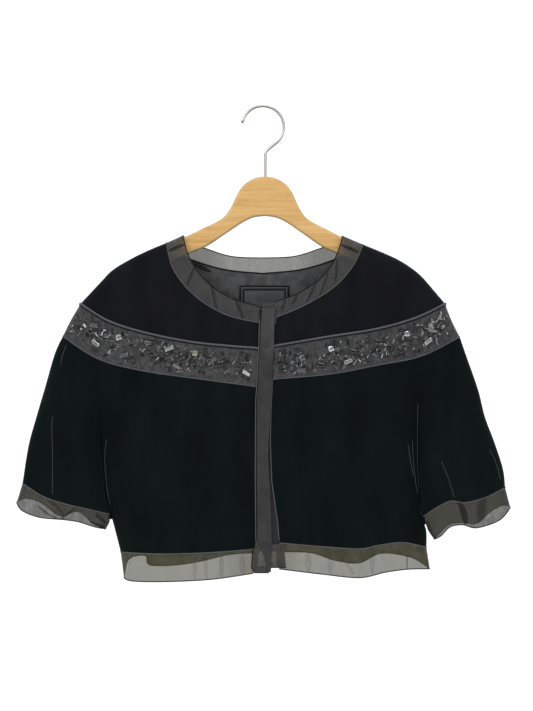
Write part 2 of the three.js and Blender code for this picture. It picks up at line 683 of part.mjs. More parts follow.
// Body
const BODY_HEIGHT = 222;
const bodyRows = insetRows(rowsByUnderarm(UNDERARM_AT.body, BODY_ROWS), BODY_HEIGHT);
for (const side of ["right", "left"]) {
  const grid = sample(bodySurface("front", side), halfColumns(side, BODY_COLUMNS), bodyRows);
  add(`front_${side}`, wall(grid, VELVET_WALL), finish.velvet);
}
const bodyBack = wholeBack((side) => bodySurface("back", side));
add("back", wall(sample(bodyBack, backColumns(BODY_COLUMNS), bodyRows), VELVET_WALL), finish.velvet);

// Sleeves, each a front and a back piece that meet at the overarm and underarm seams
const SLEEVE_LENGTH = 205;
const sleeveRows = insetRows(rowsByUnderarm(UNDERARM_AT.sleeve, SLEEVE_ROWS), SLEEVE_LENGTH);
for (const side of ["right", "left"]) {
  const surface = sleeveSurface(side);
  for (const face of ["front", "back"]) {
    const grid = sleeveRows
      .map((c) => sleeveAngles(face, side, c).map((phi) => surface(phi, c)))
      .reduce((columns, row) => row.map((point, i) => [...(columns[i] ?? []), point]), []);
    add(`sleeve_${face}_${side}`, wall(frontOrder(side, grid), VELVET_WALL), finish.velvet);
  }
}

// Sheer edging of the neck
const NECK_HEIGHT = 23;
const neckRows = insetRows(cordRows(NECK_HEIGHT, [1], 1), NECK_HEIGHT);
const tucked = (surface, count) => (s, b) => {
  const point = surface(s, b);
  const facing = Math.sign(point.y);
  point.y += facing * NECK_TUCK.height * Math.sin(count * Math.PI * s) * Math.sin(Math.PI * b) * (1 - Math.abs(s));
  return point;
};
for (const side of ["right", "left"]) {
  const surface = tucked(ringSurface("front", side, "neckEdge", "neckSeam", []), NECK_TUCK.count);
  const grid = sample(corded(surface, NECK_HEIGHT, [1]), ringFront(side), neckRows);
  add(`neck_edging_front_${side}`, wall(grid, SHEER_WALL), finish.trim);
}
const neckBack = wholeBack((side) => ringSurface("back", side, "neckEdge", "neckSeam", []));
add(
  "neck_edging_back",
  wall(sample(corded(neckBack, NECK_HEIGHT, [1]), ringBack, neckRows), SHEER_WALL),
  finish.trim,
);

// Sheer edging of the hem, waving more towards its free edge
function hemEdgeSurface(face, side) {
  const outline = OUTLINE[side];
  const hemPoints = HEMS[side][face === "front" ? "frontHem" : "backHem"];
  const edgePoints = HEMS[side][face === "front" ? "frontEdge" : "backEdge"];
  const top = line([...hemPoints, outline.sideHem]);
  const bottom = line([...edgePoints, outline.sideEdge]);
  const inner = line([hemPoints[0], edgePoints[0]]);
  const outer = line([outline.sideHem, outline.sideEdge]);
  const place = patch(top, bottom, inner, outer);
  return (s, b) => {
    const section = between(BODY.hem, BODY.edge, b);
    const depth = section[face];
    const angle = s * (Math.PI / 2 - seamAngle(depth, section.square));
    const swell = depth * Math.cos(angle) ** (2 / section.square);
    const at = place(Math.sin(angle) ** (2 / section.square), b);
    const wave = HEM_WAVE.height * b * Math.sin(HEM_WAVE.count * Math.PI * s) * Math.cos(angle);
    const fold = foldHeight(face, at.x, at.y) * Math.cos(angle);
    return onSurface(at, toward[face], swell, fold + wave);
  };
}
const HEM_EDGE_HEIGHT = 33;
const hemRows = insetRows(cordRows(HEM_EDGE_HEIGHT, [0], 2), HEM_EDGE_HEIGHT);
for (const side of ["right", "left"]) {
  const surface = corded(hemEdgeSurface("front", side), HEM_EDGE_HEIGHT, [0]);
  add(`hem_edging_front_${side}`, wall(sample(surface, halfColumns(side, BODY_COLUMNS), hemRows), SHEER_WALL), finish.trim);
}
const hemBack = corded(wholeBack((side) => hemEdgeSurface("back", side)), HEM_EDGE_HEIGHT, [0]);
add("hem_edging_back", wall(sample(hemBack, backColumns(BODY_COLUMNS), hemRows), SHEER_WALL), finish.trim);

// Sheer edging of the cuffs: one strip round each sleeve
function cuffSurface(side) {
  const outline = OUTLINE[side];
  const inner = line([outline.sleeveInsideHem, ...outline.cuffFold, outline.cuffInside]);
  const outer = line([outline.sleeveOutsideHem, outline.cuffOutside]);
  const places = {};
  for (const face of ["front", "back"]) {
    const [hem, edge] = face === "front" ? ["sleeveFrontHem", "cuffFront"] : ["sleeveBackHem", "cuffBack"];
    const top = line([outline.sleeveInsideHem, ...HEMS[side][hem], outline.sleeveOutsideHem]);
    const bottom = line([outline.cuffInside, ...HEMS[side][edge], outline.cuffOutside]);
    places[face] = patch(top, bottom, shifted(inner, signOf[side] * (SEAM_GAP / 2)), outer);
  }
  return (phi, b) => {
    const section = between(SLEEVE.hem, SLEEVE.edge, b);
    const face = phi <= Math.PI ? "front" : "back";
    const at = places[face](acrossTube(phi, section.square), b);
    const swell = tubeDepth(section, face, phi);
    const wave = CUFF_WAVE.height * b * Math.sin(CUFF_WAVE.count * phi) * Math.abs(Math.sin(phi));
    const fold = foldHeight(face, at.x, at.y) * Math.abs(Math.sin(phi));
    return onSurface(at, toward[face], swell, fold + wave, sleeveMiddle(1));
  };
}
const CUFF_HEIGHT = 26;
const cuffRows = insetRows(cordRows(CUFF_HEIGHT, [0], 2), CUFF_HEIGHT);
for (const side of ["right", "left"]) {
  const surface = corded(cuffSurface(side), CUFF_HEIGHT, [0]);
  const angles = [...sleeveAngles("front", side, 1), ...sleeveAngles("back", side, 1)];
  const columns = angles.filter((phi, i) => i === 0 || phi - angles[i - 1] > 2.5 * SEAM_ANGLE);
  add(`cuff_edging_${side}`, wall(sample(surface, frontOrder(side, columns), cuffRows), SHEER_WALL), finish.trim);
}

// Depth of the front at the centre, by height: the greater of its two sides
function centreDepth(z) {
  return Math.max(sideDepth("right", z), sideDepth("left", z));
}

function sideDepth(side, z) {
  const rows = [
    [FRONT_RINGS[side].neckEdge.centre[1], RING.neckEdge.front],
    [FRONT_RINGS[side].neckSeam.centre[1], RING.neckSeam.front],
    [FRONT_RINGS[side].bandTop.centre[1], RING.bandTop.front],
    [FRONT_RINGS[side].bandBottom.centre[1], RING.bandBottom.front],
    [OUTLINE[side].underarm[1], BODY.underarm.front],
    [HEMS[side].frontHem[0][1], BODY.hem.front],
    [HEMS[side].frontEdge[0][1], BODY.edge.front],
  ];
  const below = rows.findIndex(([level]) => z > level);
  if (below === 0) return rows[0][1];
  if (below < 0) return rows.at(-1)[1];
  const [[high, upper], [low, lower]] = [rows[below - 1], rows[below]];
  return lerp(upper, lower, (high - z) / (high - low));
}

// x of an edge line at a height
function edgeAt(points, z) {
  const below = points.findIndex(([, level]) => level <= z);
  if (below <= 0) return points[Math.max(below, 0)][0];
  const [[x0, z0], [x1, z1]] = [points[below - 1], points[below]];
  return lerp(x0, x1, (z0 - z) / (z0 - z1));
}

// A strip down the front opening between two edges, lying `lift` in front of the velvet's outer face
function openingStrip(leftAt, rightAt, top, bottom, lift, tuck) {
  return (s, b) => {
    const z = lerp(top, bottom, b);
    const crease = tuck ? tuck.height * Math.exp(-(((z - tuck.z) / tuck.width) ** 2)) : 0;
    const x = lerp(leftAt(z), rightAt(z), s);
    return new THREE.Vector3(x, -centreDepth(z) - lift + crease, z);
  };
}
const placket = openingStrip(
  (z) => edgeAt(PLACKET.viewerLeft, z),
  (z) => edgeAt(PLACKET.viewerRight, z),
  PLACKET.top,
  PLACKET.bottom,
  SATIN_WALL + CORD.height + LAYER_GAP,
  PLACKET.tuck,
);
add("placket", wall(sample(placket, even(3), even(26)), SATIN_WALL), finish.satin);
const leftEdge = [
  ...Object.values(FRONT_RINGS.left).map((ring) => ring.centre),
  ...FRONT_EDGE.left,
  HEMS.left.frontHem[0],
  HEMS.left.frontEdge[0],
];
const underlap = openingStrip(
  (z) => edgeAt(PLACKET.viewerLeft, z) + UNDERLAP.cover,
  (z) => edgeAt(leftEdge, z) - UNDERLAP.clear,
  UNDERLAP.top,
  UNDERLAP.bottom,
  0,
);
add("placket_underlap", wall(sample(underlap, even(2), even(18)), SATIN_WALL), finish.satin);

// The part of the back lining that shows in the neck, lying on the inside of the back yoke
const LINING_REACH = 0.5;
const liningAt = (s, b) => {
  const point = yokeBack(s * LINING_REACH, b);
  point.y -= VELVET_WALL + LAYER_GAP;
  return point;
};
add("lining_back_neck", wall(sample(liningAt, backColumns(7), insetRows(even(4), YOKE_HEIGHT)), SHEER_WALL), finish.satin);

// The blank label, framed by a raised border
function labelAt(s, b) {
  const x = lerp(LABEL.right, LABEL.left, s);
  const z = LABEL.top - LABEL.height * b;
  const down = (-224 - z) / (303 - 224);
  const depth = lerp(RING.neckSeam.back, RING.bandTop.back, down);
  return new THREE.Vector3(x, depth - VELVET_WALL - SHEER_WALL - 2 * LAYER_GAP - LAYER_GAP, z);
}
add("label", wall(sample(labelAt, even(4), even(2)), LABEL.wall), finish.satin);

// Hanger: one piece of wood, bored for the hook
function hangerGeometry() {
  const half = [...HANGER.top, ...HANGER.arm, ...HANGER.tip, ...HANGER.under];
  const inset = HANGER.roundOver;
  const rightHalf = new THREE.SplineCurve(half.map(flat)).getSpacedPoints(38);
  const leftHalf = rightHalf.slice(1, -1).reverse().map((p) => new THREE.Vector2(-p.x, p.y));
  const outline = new THREE.Shape([...rightHalf, ...leftHalf]);
  const wood = new THREE.ExtrudeGeometry(outline, {
    depth: HANGER.thickness - 2 * inset,
    bevelEnabled: true,
    bevelThickness: inset,
    bevelSize: inset,
    bevelOffset: -inset,
    bevelSegments: 2,
  });
  wood.translate(0, 0, -(HANGER.thickness / 2 - inset));
  wood.rotateX(Math.PI / 2);
  wood.translate(0, 0, -HANGER.top[0][1]);
  wood.rotateY(degToRad(HANGER.tilt));
  wood.translate(HANGER.x, 0, HANGER.top[0][1]);
  const bore = new THREE.CylinderGeometry(HOOK.wire / 2 + HOOK.bore, HOOK.wire / 2 + HOOK.bore, 30, 16);
  bore.rotateX(Math.PI / 2);
  bore.translate(HANGER.x, 0, HOOK.stemFoot - HOOK.bore + 15);
  return geometryOf(solidOf(wood).subtract(solidOf(bore)));
}
add("hanger", hangerGeometry(), finish.wood);

// Hook: one bent wire, from its tip over the rail and down into the wood
function hookGeometry() {
  const centre = -HOOK.bend + HOOK.wire / 2;
  const points = [];
  for (let angle = HOOK.tipAngle; angle >= HOOK.endAngle; angle -= 12) {
    const turn = degToRad(angle);
    points.push(new THREE.Vector3(HOOK.bend * Math.cos(turn), 0, centre + HOOK.bend * Math.sin(turn)));
  }
  const [kinkX, kinkZ] = HOOK.kink;
  points.push(new THREE.Vector3(kinkX + 4, 0, kinkZ + 3.4));
  points.push(new THREE.Vector3(kinkX + 0.6, 0, kinkZ - 0.4));
  points.push(new THREE.Vector3(HANGER.x, 0, kinkZ - 5));
  points.push(new THREE.Vector3(HANGER.x, 0, lerp(kinkZ, HOOK.stemFoot, 0.5)));
  points.push(new THREE.Vector3(HANGER.x, 0, HOOK.stemFoot));
  const path = new THREE.CatmullRomCurve3(points, false, "centripetal");
  const section = new THREE.Shape().absarc(0, 0, HOOK.wire / 2, 0, 2 * Math.PI);
  return new THREE.ExtrudeGeometry(section, { steps: 46, curveSegments: 4, extrudePath: path });
}
add("hook", hookGeometry(), finish.steel);

export default jacket;
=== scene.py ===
# A cropped collarless velvet jacket on a wooden hanger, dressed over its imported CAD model.
# Tables hold millimetres, as the CAD does, and every mesh is made in metres. X runs to the viewer's
# right, Y away from the viewer and Z up. The wearer's right is at -X.
import math

import bmesh
import bpy
import numpy as np
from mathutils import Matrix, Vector
from mathutils.bvhtree import BVHTree


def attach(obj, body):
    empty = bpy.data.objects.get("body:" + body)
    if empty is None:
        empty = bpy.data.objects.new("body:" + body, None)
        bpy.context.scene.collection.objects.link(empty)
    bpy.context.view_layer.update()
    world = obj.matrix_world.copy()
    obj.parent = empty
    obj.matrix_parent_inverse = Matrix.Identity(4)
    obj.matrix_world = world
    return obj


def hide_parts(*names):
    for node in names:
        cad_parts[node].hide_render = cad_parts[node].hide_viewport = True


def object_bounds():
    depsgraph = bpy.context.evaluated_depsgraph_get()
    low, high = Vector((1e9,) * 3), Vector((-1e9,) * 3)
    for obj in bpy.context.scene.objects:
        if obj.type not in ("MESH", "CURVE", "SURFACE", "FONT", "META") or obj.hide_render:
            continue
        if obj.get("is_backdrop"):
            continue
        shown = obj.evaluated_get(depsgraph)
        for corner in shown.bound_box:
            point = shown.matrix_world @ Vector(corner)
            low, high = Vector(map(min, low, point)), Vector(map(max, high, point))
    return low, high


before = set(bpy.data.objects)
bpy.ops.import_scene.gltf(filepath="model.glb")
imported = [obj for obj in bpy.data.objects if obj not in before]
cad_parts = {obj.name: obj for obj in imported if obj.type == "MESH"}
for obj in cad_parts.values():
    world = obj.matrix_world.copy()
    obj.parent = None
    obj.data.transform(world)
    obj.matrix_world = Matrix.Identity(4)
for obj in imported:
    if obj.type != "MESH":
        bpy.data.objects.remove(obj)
cad_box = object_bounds()

# Hanger: a shaped board of pale wood with rounded edges under clear lacquer, bored at the top for the
# hook. Its arms carry the jacket inside the shoulders.
MM = 0.001
HANGER_MIDDLE = 3.6
HANGER_TILT = 0.55
HANGER_THICKNESS = 12
HANGER_ROUND_OVER = 3.6
HANGER_TOP = [
    (0, -93), (12, -95), (22, -99.5), (31, -107), (38, -118), (46, -135), (55, -148), (68, -156.5),
    (84, -164.3),
]
HANGER_ARM = [(104, -174.3), (128, -185.1), (150, -194.8), (170, -205.2)]
HANGER_TIP = [(182, -216), (181, -227)]
HANGER_UNDER = [
    (170, -229), (130, -211), (98, -197), (76, -187), (48, -168), (30, -156), (15, -149), (0, -147),
]


def line(points):
    """A smooth line through points, read by its share of length."""
    points = np.array(points, float)
    last = len(points) - 1

    def at(place):
        place = np.asarray(np.clip(place, 0, 1) * last)
        i = np.minimum(place.astype(int), last - 1)
        w = (place - i)[..., None]
        p0, p1, p2, p3 = (points[np.clip(i + k, 0, last)] for k in (-1, 0, 1, 2))
        v0 = (p2 - p0) / 2
        v1 = (p3 - p1) / 2
        return (2 * p1 - 2 * p2 + v0 + v1) * w**3 + (3 * p2 - 3 * p1 - 2 * v0 - v1) * w**2 + v0 * w + p1

    steps = np.linspace(0, 1, 201)
    run = np.concatenate([[0], np.cumsum(np.linalg.norm(np.diff(at(steps), axis=0), axis=1))])
    return lambda share: at(np.interp(np.clip(share, 0, 1), run / run[-1], steps))


def make_piece(name, points, faces, material, slot, sharp=50):
    """A mesh piece from points in millimetres, which rides with the jacket and its hanger."""
    mesh = bpy.data.meshes.new(name)
    mesh.from_pydata((np.asarray(points) * MM).tolist(), [], faces)
    whole = bmesh.new()
    whole.from_mesh(mesh)
    bmesh.ops.recalc_face_normals(whole, faces=whole.faces[:])
    whole.to_mesh(mesh)
    whole.free()
    mesh.shade_smooth()
    mesh.set_sharp_from_angle(angle=math.radians(sharp))
    mesh.materials.append(material)
    piece = bpy.data.objects.new(name, mesh)
    bpy.context.collection.objects.link(piece)
    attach(piece, "root")
    return piece


def ring_faces(around, rings, closed=False):
    """Faces between rings of points, with an end cap at each end unless they close to a loop."""
    faces = []
    for k in range(rings if closed else rings - 1):
        here, there = k * around, (k + 1) % rings * around
        for i in range(around):
            j = (i + 1) % around
            faces.append((here + i, here + j, there + j, there + i))
    caps = [] if closed else [tuple(range(around)), tuple(range((rings - 1) * around, rings * around))]
    return faces + caps


def feed(node, inputs):
    """Sets a node's inputs to values, or links them to other nodes' outputs."""
    for name, value in inputs.items():
        if isinstance(value, bpy.types.NodeSocket):
            node.id_data.links.new(value, node.inputs[name])
        else:
            node.inputs[name].default_value = value


def put(tree, kind, inputs=None, **settings):
    """A node with its settings, whose named inputs are values or other nodes' outputs."""
    node = tree.nodes.new("ShaderNode" + kind)
    for setting, value in settings.items():
        setattr(node, setting, value)
    feed(node, inputs or {})
    return node


def calc(tree, operation, *values):
    return put(tree, "Math", dict(enumerate(values)), operation=operation).outputs[0]


def spread(tree, value, start, end, low, high):
    """Goes from low to high while a value goes from start to end."""
    inputs = {"Value": value, "From Min": start, "From Max": end, "To Min": low, "To Max": high}
    return put(tree, "MapRange", inputs).outputs["Result"]


def darkened(tree, colour, share):
    return put(tree, "VectorMath", {"Vector": colour, "Scale": share}, operation="SCALE").outputs["Vector"]


def place_in(tree, scale=None):
    """The place on the object, in metres, drawn out where a scale is given."""
    place = put(tree, "TexCoord").outputs["Object"]
    return put(tree, "Mapping", {"Vector": place, "Scale": scale}).outputs["Vector"] if scale else place


def axis_of(tree, vector, axis):
    return put(tree, "SeparateXYZ", {"Vector": vector}).outputs[axis]


def cloudy(tree, place, scale, detail, **more):
    """A mask of soft patches."""
    return put(tree, "TexNoise", {"Vector": place, "Scale": scale, "Detail": detail, **more}).outputs["Fac"]


def ramp(tree, mask, *stops):
    """A colour or grey that follows a mask through stops of (place, colour)."""
    node = put(tree, "ValToRGB", {"Fac": mask})
    elements = node.color_ramp.elements
    while len(elements) < len(stops):
        elements.new(0.5)
    for element, (place, colour) in zip(elements, stops):
        element.position = place
        element.color = (*colour, 1) if isinstance(colour, tuple) else (colour, colour, colour, 1)
    return node.outputs["Color"]


def effect(name, inputs, outputs):
    """An empty node group with named inputs and outputs; returns it and its two end nodes."""
    group = bpy.data.node_groups.new(name, "ShaderNodeTree")
    for socket in [*inputs, *outputs]:
        way = "INPUT" if socket in inputs else "OUTPUT"
        made = group.interface.new_socket(name=socket, in_out=way, socket_type="NodeSocketFloat")
        made.default_value = inputs.get(socket, 0.0)
    return group, group.nodes.new("NodeGroupInput"), group.nodes.new("NodeGroupOutput")


def finish(name, **sockets):
    """A material, with the values that are the same all over set on its Principled shader."""
    material = bpy.data.materials.new(name)
    material.use_nodes = True
    shader = material.node_tree.nodes["Principled BSDF"]
    for socket, value in sockets.items():
        shader.inputs[socket.replace("_", " ")].default_value = value
    return material, material.node_tree, shader


def dress(shader, colour, roughness, height, distance, strength):
    """Feeds a shader its colour, roughness and relief, whose height is in metres at 1."""
    relief = put(shader.id_data, "Bump", {"Height": height, "Distance": distance, "Strength": strength})
    feed(shader, {"Base Color": colour, "Roughness": roughness, "Normal": relief.outputs["Normal"]})


# Handling marks: a patchy mask for wood, metal and glass that hands or threads touch
rubbed, rubbed_in, rubbed_out = effect("rubbed", {"Patch size": 0.02}, ["Mask"])
rubbed_scale = calc(rubbed, "DIVIDE", 1.0, rubbed_in.outputs["Patch size"])
feed(rubbed_out, {"Mask": cloudy(rubbed, place_in(rubbed), rubbed_scale, 5.0, Roughness=0.6)})


def handled(tree, patch_size):
    return put(tree, "Group", {"Patch size": patch_size}, node_tree=rubbed).outputs["Mask"]


def painted_underside_shade(tree, lowest, highest, dark):
    """A share of painted shade that darkens the faces that look down, as if lit from above."""
    normal = put(tree, "NewGeometry").outputs["Normal"]
    return spread(tree, axis_of(tree, normal, "Z"), lowest, highest, dark, 1.0)


lacquered_wood, tree, shader = finish(
    "lacquered wood", Coat_Weight=0.35, Coat_Roughness=0.12, Specular_IOR_Level=0.4
)
growth = cloudy(tree, place_in(tree, (9.0, 170.0, 170.0)), 1.0, 4.0, Distortion=0.35)
pores = cloudy(tree, place_in(tree, (60.0, 1400.0, 1400.0)), 1.0, 2.0)
grain = calc(tree, "MULTIPLY_ADD", pores, 0.35, growth)
wood = ramp(
    tree, grain, (0.42, (0.57, 0.325, 0.105)), (0.62, (0.68, 0.41, 0.15)), (0.85, (0.76, 0.48, 0.195))
)
# Painted shade: the wood is darkened to 0.3 of its colour on the faces that look down.
shaded_board_colour = darkened(tree, wood, painted_underside_shade(tree, -0.9, 0.0, 0.3))
dress(shader, shaded_board_colour, ramp(tree, handled(tree, 0.03), (0.3, 0.3), (0.7, 0.46)), grain, 0.00012, 0.5)


def turned_board(points):
    """Tilts the hanger's points about its top and moves them to its place."""
    turn = math.radians(HANGER_TILT)
    x, y, z = np.moveaxis(points, -1, 0)
    z = z - HANGER_TOP[0][1]
    turned_x = x * math.cos(turn) + z * math.sin(turn)
    turned_z = z * math.cos(turn) - x * math.sin(turn)
    return np.stack([turned_x + HANGER_MIDDLE, y, turned_z + HANGER_TOP[0][1]], -1)


right_half = line(HANGER_TOP + HANGER_ARM + HANGER_TIP + HANGER_UNDER)(np.linspace(0, 1, 121))
left_half = right_half[1:-1][::-1] * (-1, 1)
outline = np.concatenate([right_half, left_half])
ahead = np.roll(outline, -1, axis=0) - np.roll(outline, 1, axis=0)
inwards = np.stack([ahead[:, 1], -ahead[:, 0]], -1)
inwards /= np.linalg.norm(inwards, axis=1, keepdims=True)
board_rings = []
for lean in np.radians(np.linspace(-90, 90, 19)):
    inset = HANGER_ROUND_OVER * (1 - math.cos(lean))
    half_flat = HANGER_THICKNESS / 2 - HANGER_ROUND_OVER
    depth = math.copysign(half_flat, lean) + HANGER_ROUND_OVER * math.sin(lean) if lean else 0.0
    board_rings.append(np.insert(outline + inwards * inset, 1, depth, axis=1))
board_points = turned_board(np.concatenate(board_rings))
board_faces = ring_faces(len(outline), len(board_rings))
hanger = make_piece("hanger_board", board_points, board_faces, lacquered_wood, "wood", sharp=40)
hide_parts("hanger")

# Hook: one bright plated steel wire, bent to a round hook with a small kink above the stem and pushed
# into the board. It takes the rail.
WIRE = 4
HOOK_BEND = 28.3
HOOK_TIP_ANGLE = 170
HOOK_END_ANGLE = -46
HOOK_KINK = (4, -59.5)
STEM_FOOT = -106
HOOK_POINTS = 160
TIP_SWELLING = 0.28


def tube(points, radius, sides=10, closed=False):
    """Points and faces of a round wire, cord or thread along a path in millimetres."""
    path = np.array(points, float)
    ahead = np.roll(path, -1, axis=0) - np.roll(path, 1, axis=0) if closed else np.gradient(path, axis=0)
    ahead /= np.linalg.norm(ahead, axis=1, keepdims=True) + 1e-12
    turns = np.linspace(0, 2 * math.pi, sides, endpoint=False)[:, None]
    side = np.cross(ahead[0], (0.31, 0.59, 0.74))
    rings = []
    for point, heading, r in zip(path, ahead, np.broadcast_to(radius, len(path))):
        side = side - heading * np.dot(side, heading)
        side /= np.linalg.norm(side)
        rings.append(point + r * (np.cos(turns) * side + np.sin(turns) * np.cross(heading, side)))
    return np.concatenate(rings), ring_faces(sides, len(rings), closed)


plated_steel, tree, shader = finish("plated steel", Metallic=1.0)
touched = handled(tree, 0.006)
bright = ramp(tree, touched, (0.3, (0.74, 0.7, 0.65)), (0.7, (0.8, 0.76, 0.71)))
# Painted shade: the steel is darkened almost to black on the faces that look down.
shaded_wire_colour = darkened(tree, bright, painted_underside_shade(tree, -0.6, 0.0, 0.08))
dress(shader, shaded_wire_colour, ramp(tree, touched, (0.35, 0.28), (0.7, 0.36)), touched, 0.00005, 0.1)

bend_centre = WIRE / 2 - HOOK_BEND
bend_turns = np.radians(np.arange(HOOK_TIP_ANGLE, HOOK_END_ANGLE - 1, -6))
hook_route = [(HOOK_BEND * math.cos(t), bend_centre + HOOK_BEND * math.sin(t)) for t in bend_turns]
hook_route += [
    (HOOK_KINK[0] + 4, HOOK_KINK[1] + 3.4),
    (HOOK_KINK[0] + 0.6, HOOK_KINK[1] - 0.4),
    (HANGER_MIDDLE, HOOK_KINK[1] - 5),
    (HANGER_MIDDLE, (HOOK_KINK[1] + STEM_FOOT) / 2),
    (HANGER_MIDDLE, STEM_FOOT),
]
hook_line = line(hook_route)(np.linspace(0, 1, HOOK_POINTS))
hook_path = np.insert(hook_line, 1, 0.0, axis=1)
from_tip = np.arange(HOOK_POINTS) / 3
tip_shape = np.sqrt(np.clip(from_tip + 0.12, 0, 1)) * (1 + TIP_SWELLING * np.exp(-((from_tip - 1) ** 2)))
hook_mesh = tube(hook_path, WIRE / 2 * tip_shape, sides=16)
hook = make_piece("hook_wire", *hook_mesh, plated_steel, "steel", sharp=60)
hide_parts("hook")

# Yoke: two fronts and a back of black velvet round the shoulders, each lined. They are seamed to each
# other along the shoulder ridge and to the neck edging above and the beaded band below.
VELVET_WALL = 1.8
SEAM_GAP = 0.12
EDGE_LEAN = 0.22
EDGE_BULGE = 0.12
FOLD_OVER = 0.3
CREASE_RUN = 1.3
SIGN = {"right": -1, "left": 1}
FACING = {"front": -1, "back": 1}
RING = {
    "neck_edge": {"front": 24, "back": 19, "square": 2.8},
    "neck_seam": {"front": 26, "back": 21, "square": 2.8},
    "band_top": {"front": 32, "back": 27, "square": 2.5},
    "band_bottom": {"front": 34, "back": 29, "square": 2.4},
}
# Points of each ring from the centre front outwards, in the front view; the last is on the shoulder ridge
FRONT_RINGS = {
    "right": {
        "neck_edge": [(-4, -269), (-44, -257), (-77, -234), (-98, -205), (-108, -173)],
        "neck_seam": [(-5, -291), (-50, -280), (-91, -255), (-120, -220), (-130, -183)],
        "band_top": [(-6, -325), (-85, -318), (-150, -306), (-206, -289), (-246, -265)],
        "band_bottom": [(-8, -377), (-90, -366), (-160, -356), (-221, -340), (-270, -309)],
    },
    "left": {
        "neck_edge": [(17, -262), (48, -251), (78, -231), (97, -205), (108, -173.5)],
        "neck_seam": [(17, -284), (57, -267), (97, -242), (123, -212), (135, -185)],
        "band_top": [(15, -322), (91, -309), (153, -299), (206, -284), (246, -265)],
        "band_bottom": [(13, -367), (91, -360), (155, -348), (213, -336), (266, -310)],
    },
}
BACK_RINGS = {
    "neck_edge": [(0, -203), (42, -201), (78, -190), (97, -182)],
    "neck_seam": [(0, -224), (50, -219), (92, -207), (119, -194)],
    "band_top": [(0, -313), (88, -306), (152, -298), (207, -285)],
    "band_bottom": [(0, -362), (90, -356), (158, -347), (218, -335)],
}
SHOULDER = {
    "right": [(-152, -192), (-175, -203), (-202, -219), (-218, -235), (-233, -251)],
    "left": [(171, -200), (192, -211), (212, -226), (230, -246)],
}
# Soft folds and creases: from x, z to x, z, the width, and the height or, below 0, depth
CREASES = {
    "front": [
        (192, -360, 204, -560, 7, 2.4), (176, -380, 190, -520, 9, -1.8), (120, -420, 128, -610, 26, 2.6),
        (-196, -460, -172, -585, 10, 2.2), (-60, -420, -66, -620, 34, 2.0),
        (-262, -350, -284, -520, 7, 2.2), (236, -440, 258, -530, 7, -2.6),
        (268, -400, 284, -520, 12, 2.0), (-190, -225, -150, -275, 9, 0.7),
        (180, -225, 150, -280, 10, 0.8), (-30, -400, -38, -500, 12, 0.9), (44, -390, 36, -540, 11, 1.0),
        (80, -470, 92, -600, 12, -1.1), (-120, -380, -104, -470, 13, -1.0),
        (-150, -500, -138, -600, 9, 1.2), (-214, -420, -186, -462, 7, 1.3),
        (-240, -400, -250, -470, 8, -1.2), (-300, -450, -262, -480, 9, 1.1),
        (206, -430, 170, -478, 8, 1.4), (300, -440, 262, -474, 8, 1.2),
    ],
    "back": [
        (-110, -400, -122, -600, 30, 2.6), (40, -380, 44, -600, 34, -2.2),
        (168, -380, 178, -590, 16, 2.6), (-262, -370, -280, -500, 12, 2.0),
        (262, -370, 276, -500, 12, -2.0), (-70, -240, -110, -292, 14, 0.9),
        (90, -235, 120, -290, 12, -0.8), (-30, -390, -20, -520, 15, 1.2), (110, -400, 96, -560, 13, 1.4),
        (-176, -430, -150, -520, 9, 1.5), (206, -440, 180, -500, 9, 1.5),
        (-300, -440, -256, -486, 9, 1.2), (306, -450, 262, -500, 10, 1.3),
    ],
}


def mix(first, second, share):
    return first + (second - first) * share


def patch(top, bottom, inner, outer):
    """A patch in the front view between four lines: a runs outwards, b runs down."""

    def place(a, b):
        a, b = np.broadcast_arrays(a, b)
        across, down = a[..., None], b[..., None]
        level = mix(top(a), bottom(a), down)
        upright = mix(inner(b), outer(b), across)
        corners = mix(mix(top(0), top(1), across), mix(bottom(0), bottom(1), across), down)
        return level + upright - corners

    return place


def beside(at, start, end):
    """How far places lie along a line, as a share of it, and how far aside of it."""
    run = np.subtract(end, start)
    off = at - np.array(start)
    length = np.linalg.norm(run)
    return off @ run / length**2, (off[..., 0] * run[1] - off[..., 1] * run[0]) / length


def crease_height(face, at):
    """Height of all the creases of one face at places in the front view."""
    height = np.zeros(at.shape[:-1])
    for x0, z0, x1, z1, width, top in CREASES[face]:
        share, aside = beside(at, (x0, z0), (x1, z1))
        height += top * np.exp(-((aside / width) ** 2)) * np.sin(np.pi * np.clip(share / CREASE_RUN, 0, 1))
    return height


def seam_angle(depth, square):
    """The angle short of a fold at which a section stands half a seam gap off the middle plane."""
    return np.arcsin((SEAM_GAP / 2 / depth) ** (square / 2))


def on_cloth(at, face, swell, crease=0.0, middle=0.0):
    """A cloth point from its place in the front view and its depth."""
    return np.stack([at[..., 0], middle + FACING[face] * (swell + crease), at[..., 1]], -1)


def ring_line(face, side, name):
    points = FRONT_RINGS[side][name]
    if face == "back":
        points = [(SIGN[side] * x, z) for x, z in BACK_RINGS[name]] + points[-1:]
    return line(points)


def ring_surface(face, side, upper, lower, ridge_points=()):
    """A part between two rings round the shoulders. s runs from the centre to the ridge, b down."""
    top = ring_line(face, side, upper)
    bottom = ring_line(face, side, lower)
    outer = line([FRONT_RINGS[side][upper][-1], *ridge_points, FRONT_RINGS[side][lower][-1]])
    place = patch(top, bottom, lambda b: mix(top(0), bottom(0), np.asarray(b)[..., None]), outer)
    return round_front(face, place, RING[upper], RING[lower])


def round_front(face, place, upper, lower, wave=None):
    """A part whose section runs round from the centre to a fold at its side. wave ripples it."""

    def surface(s, b):
        depth = mix(upper[face], lower[face], b)
        square = mix(upper["square"], lower["square"], b)
        angle = s * (np.pi / 2 - seam_angle(depth, square))
        at = place(np.sin(angle) ** (2 / square), b)
        relief = crease_height(face, at) + (wave(s, b) if wave else 0.0)
        return on_cloth(at, face, depth * np.cos(angle) ** (2 / square), relief * np.cos(angle))

    return surface


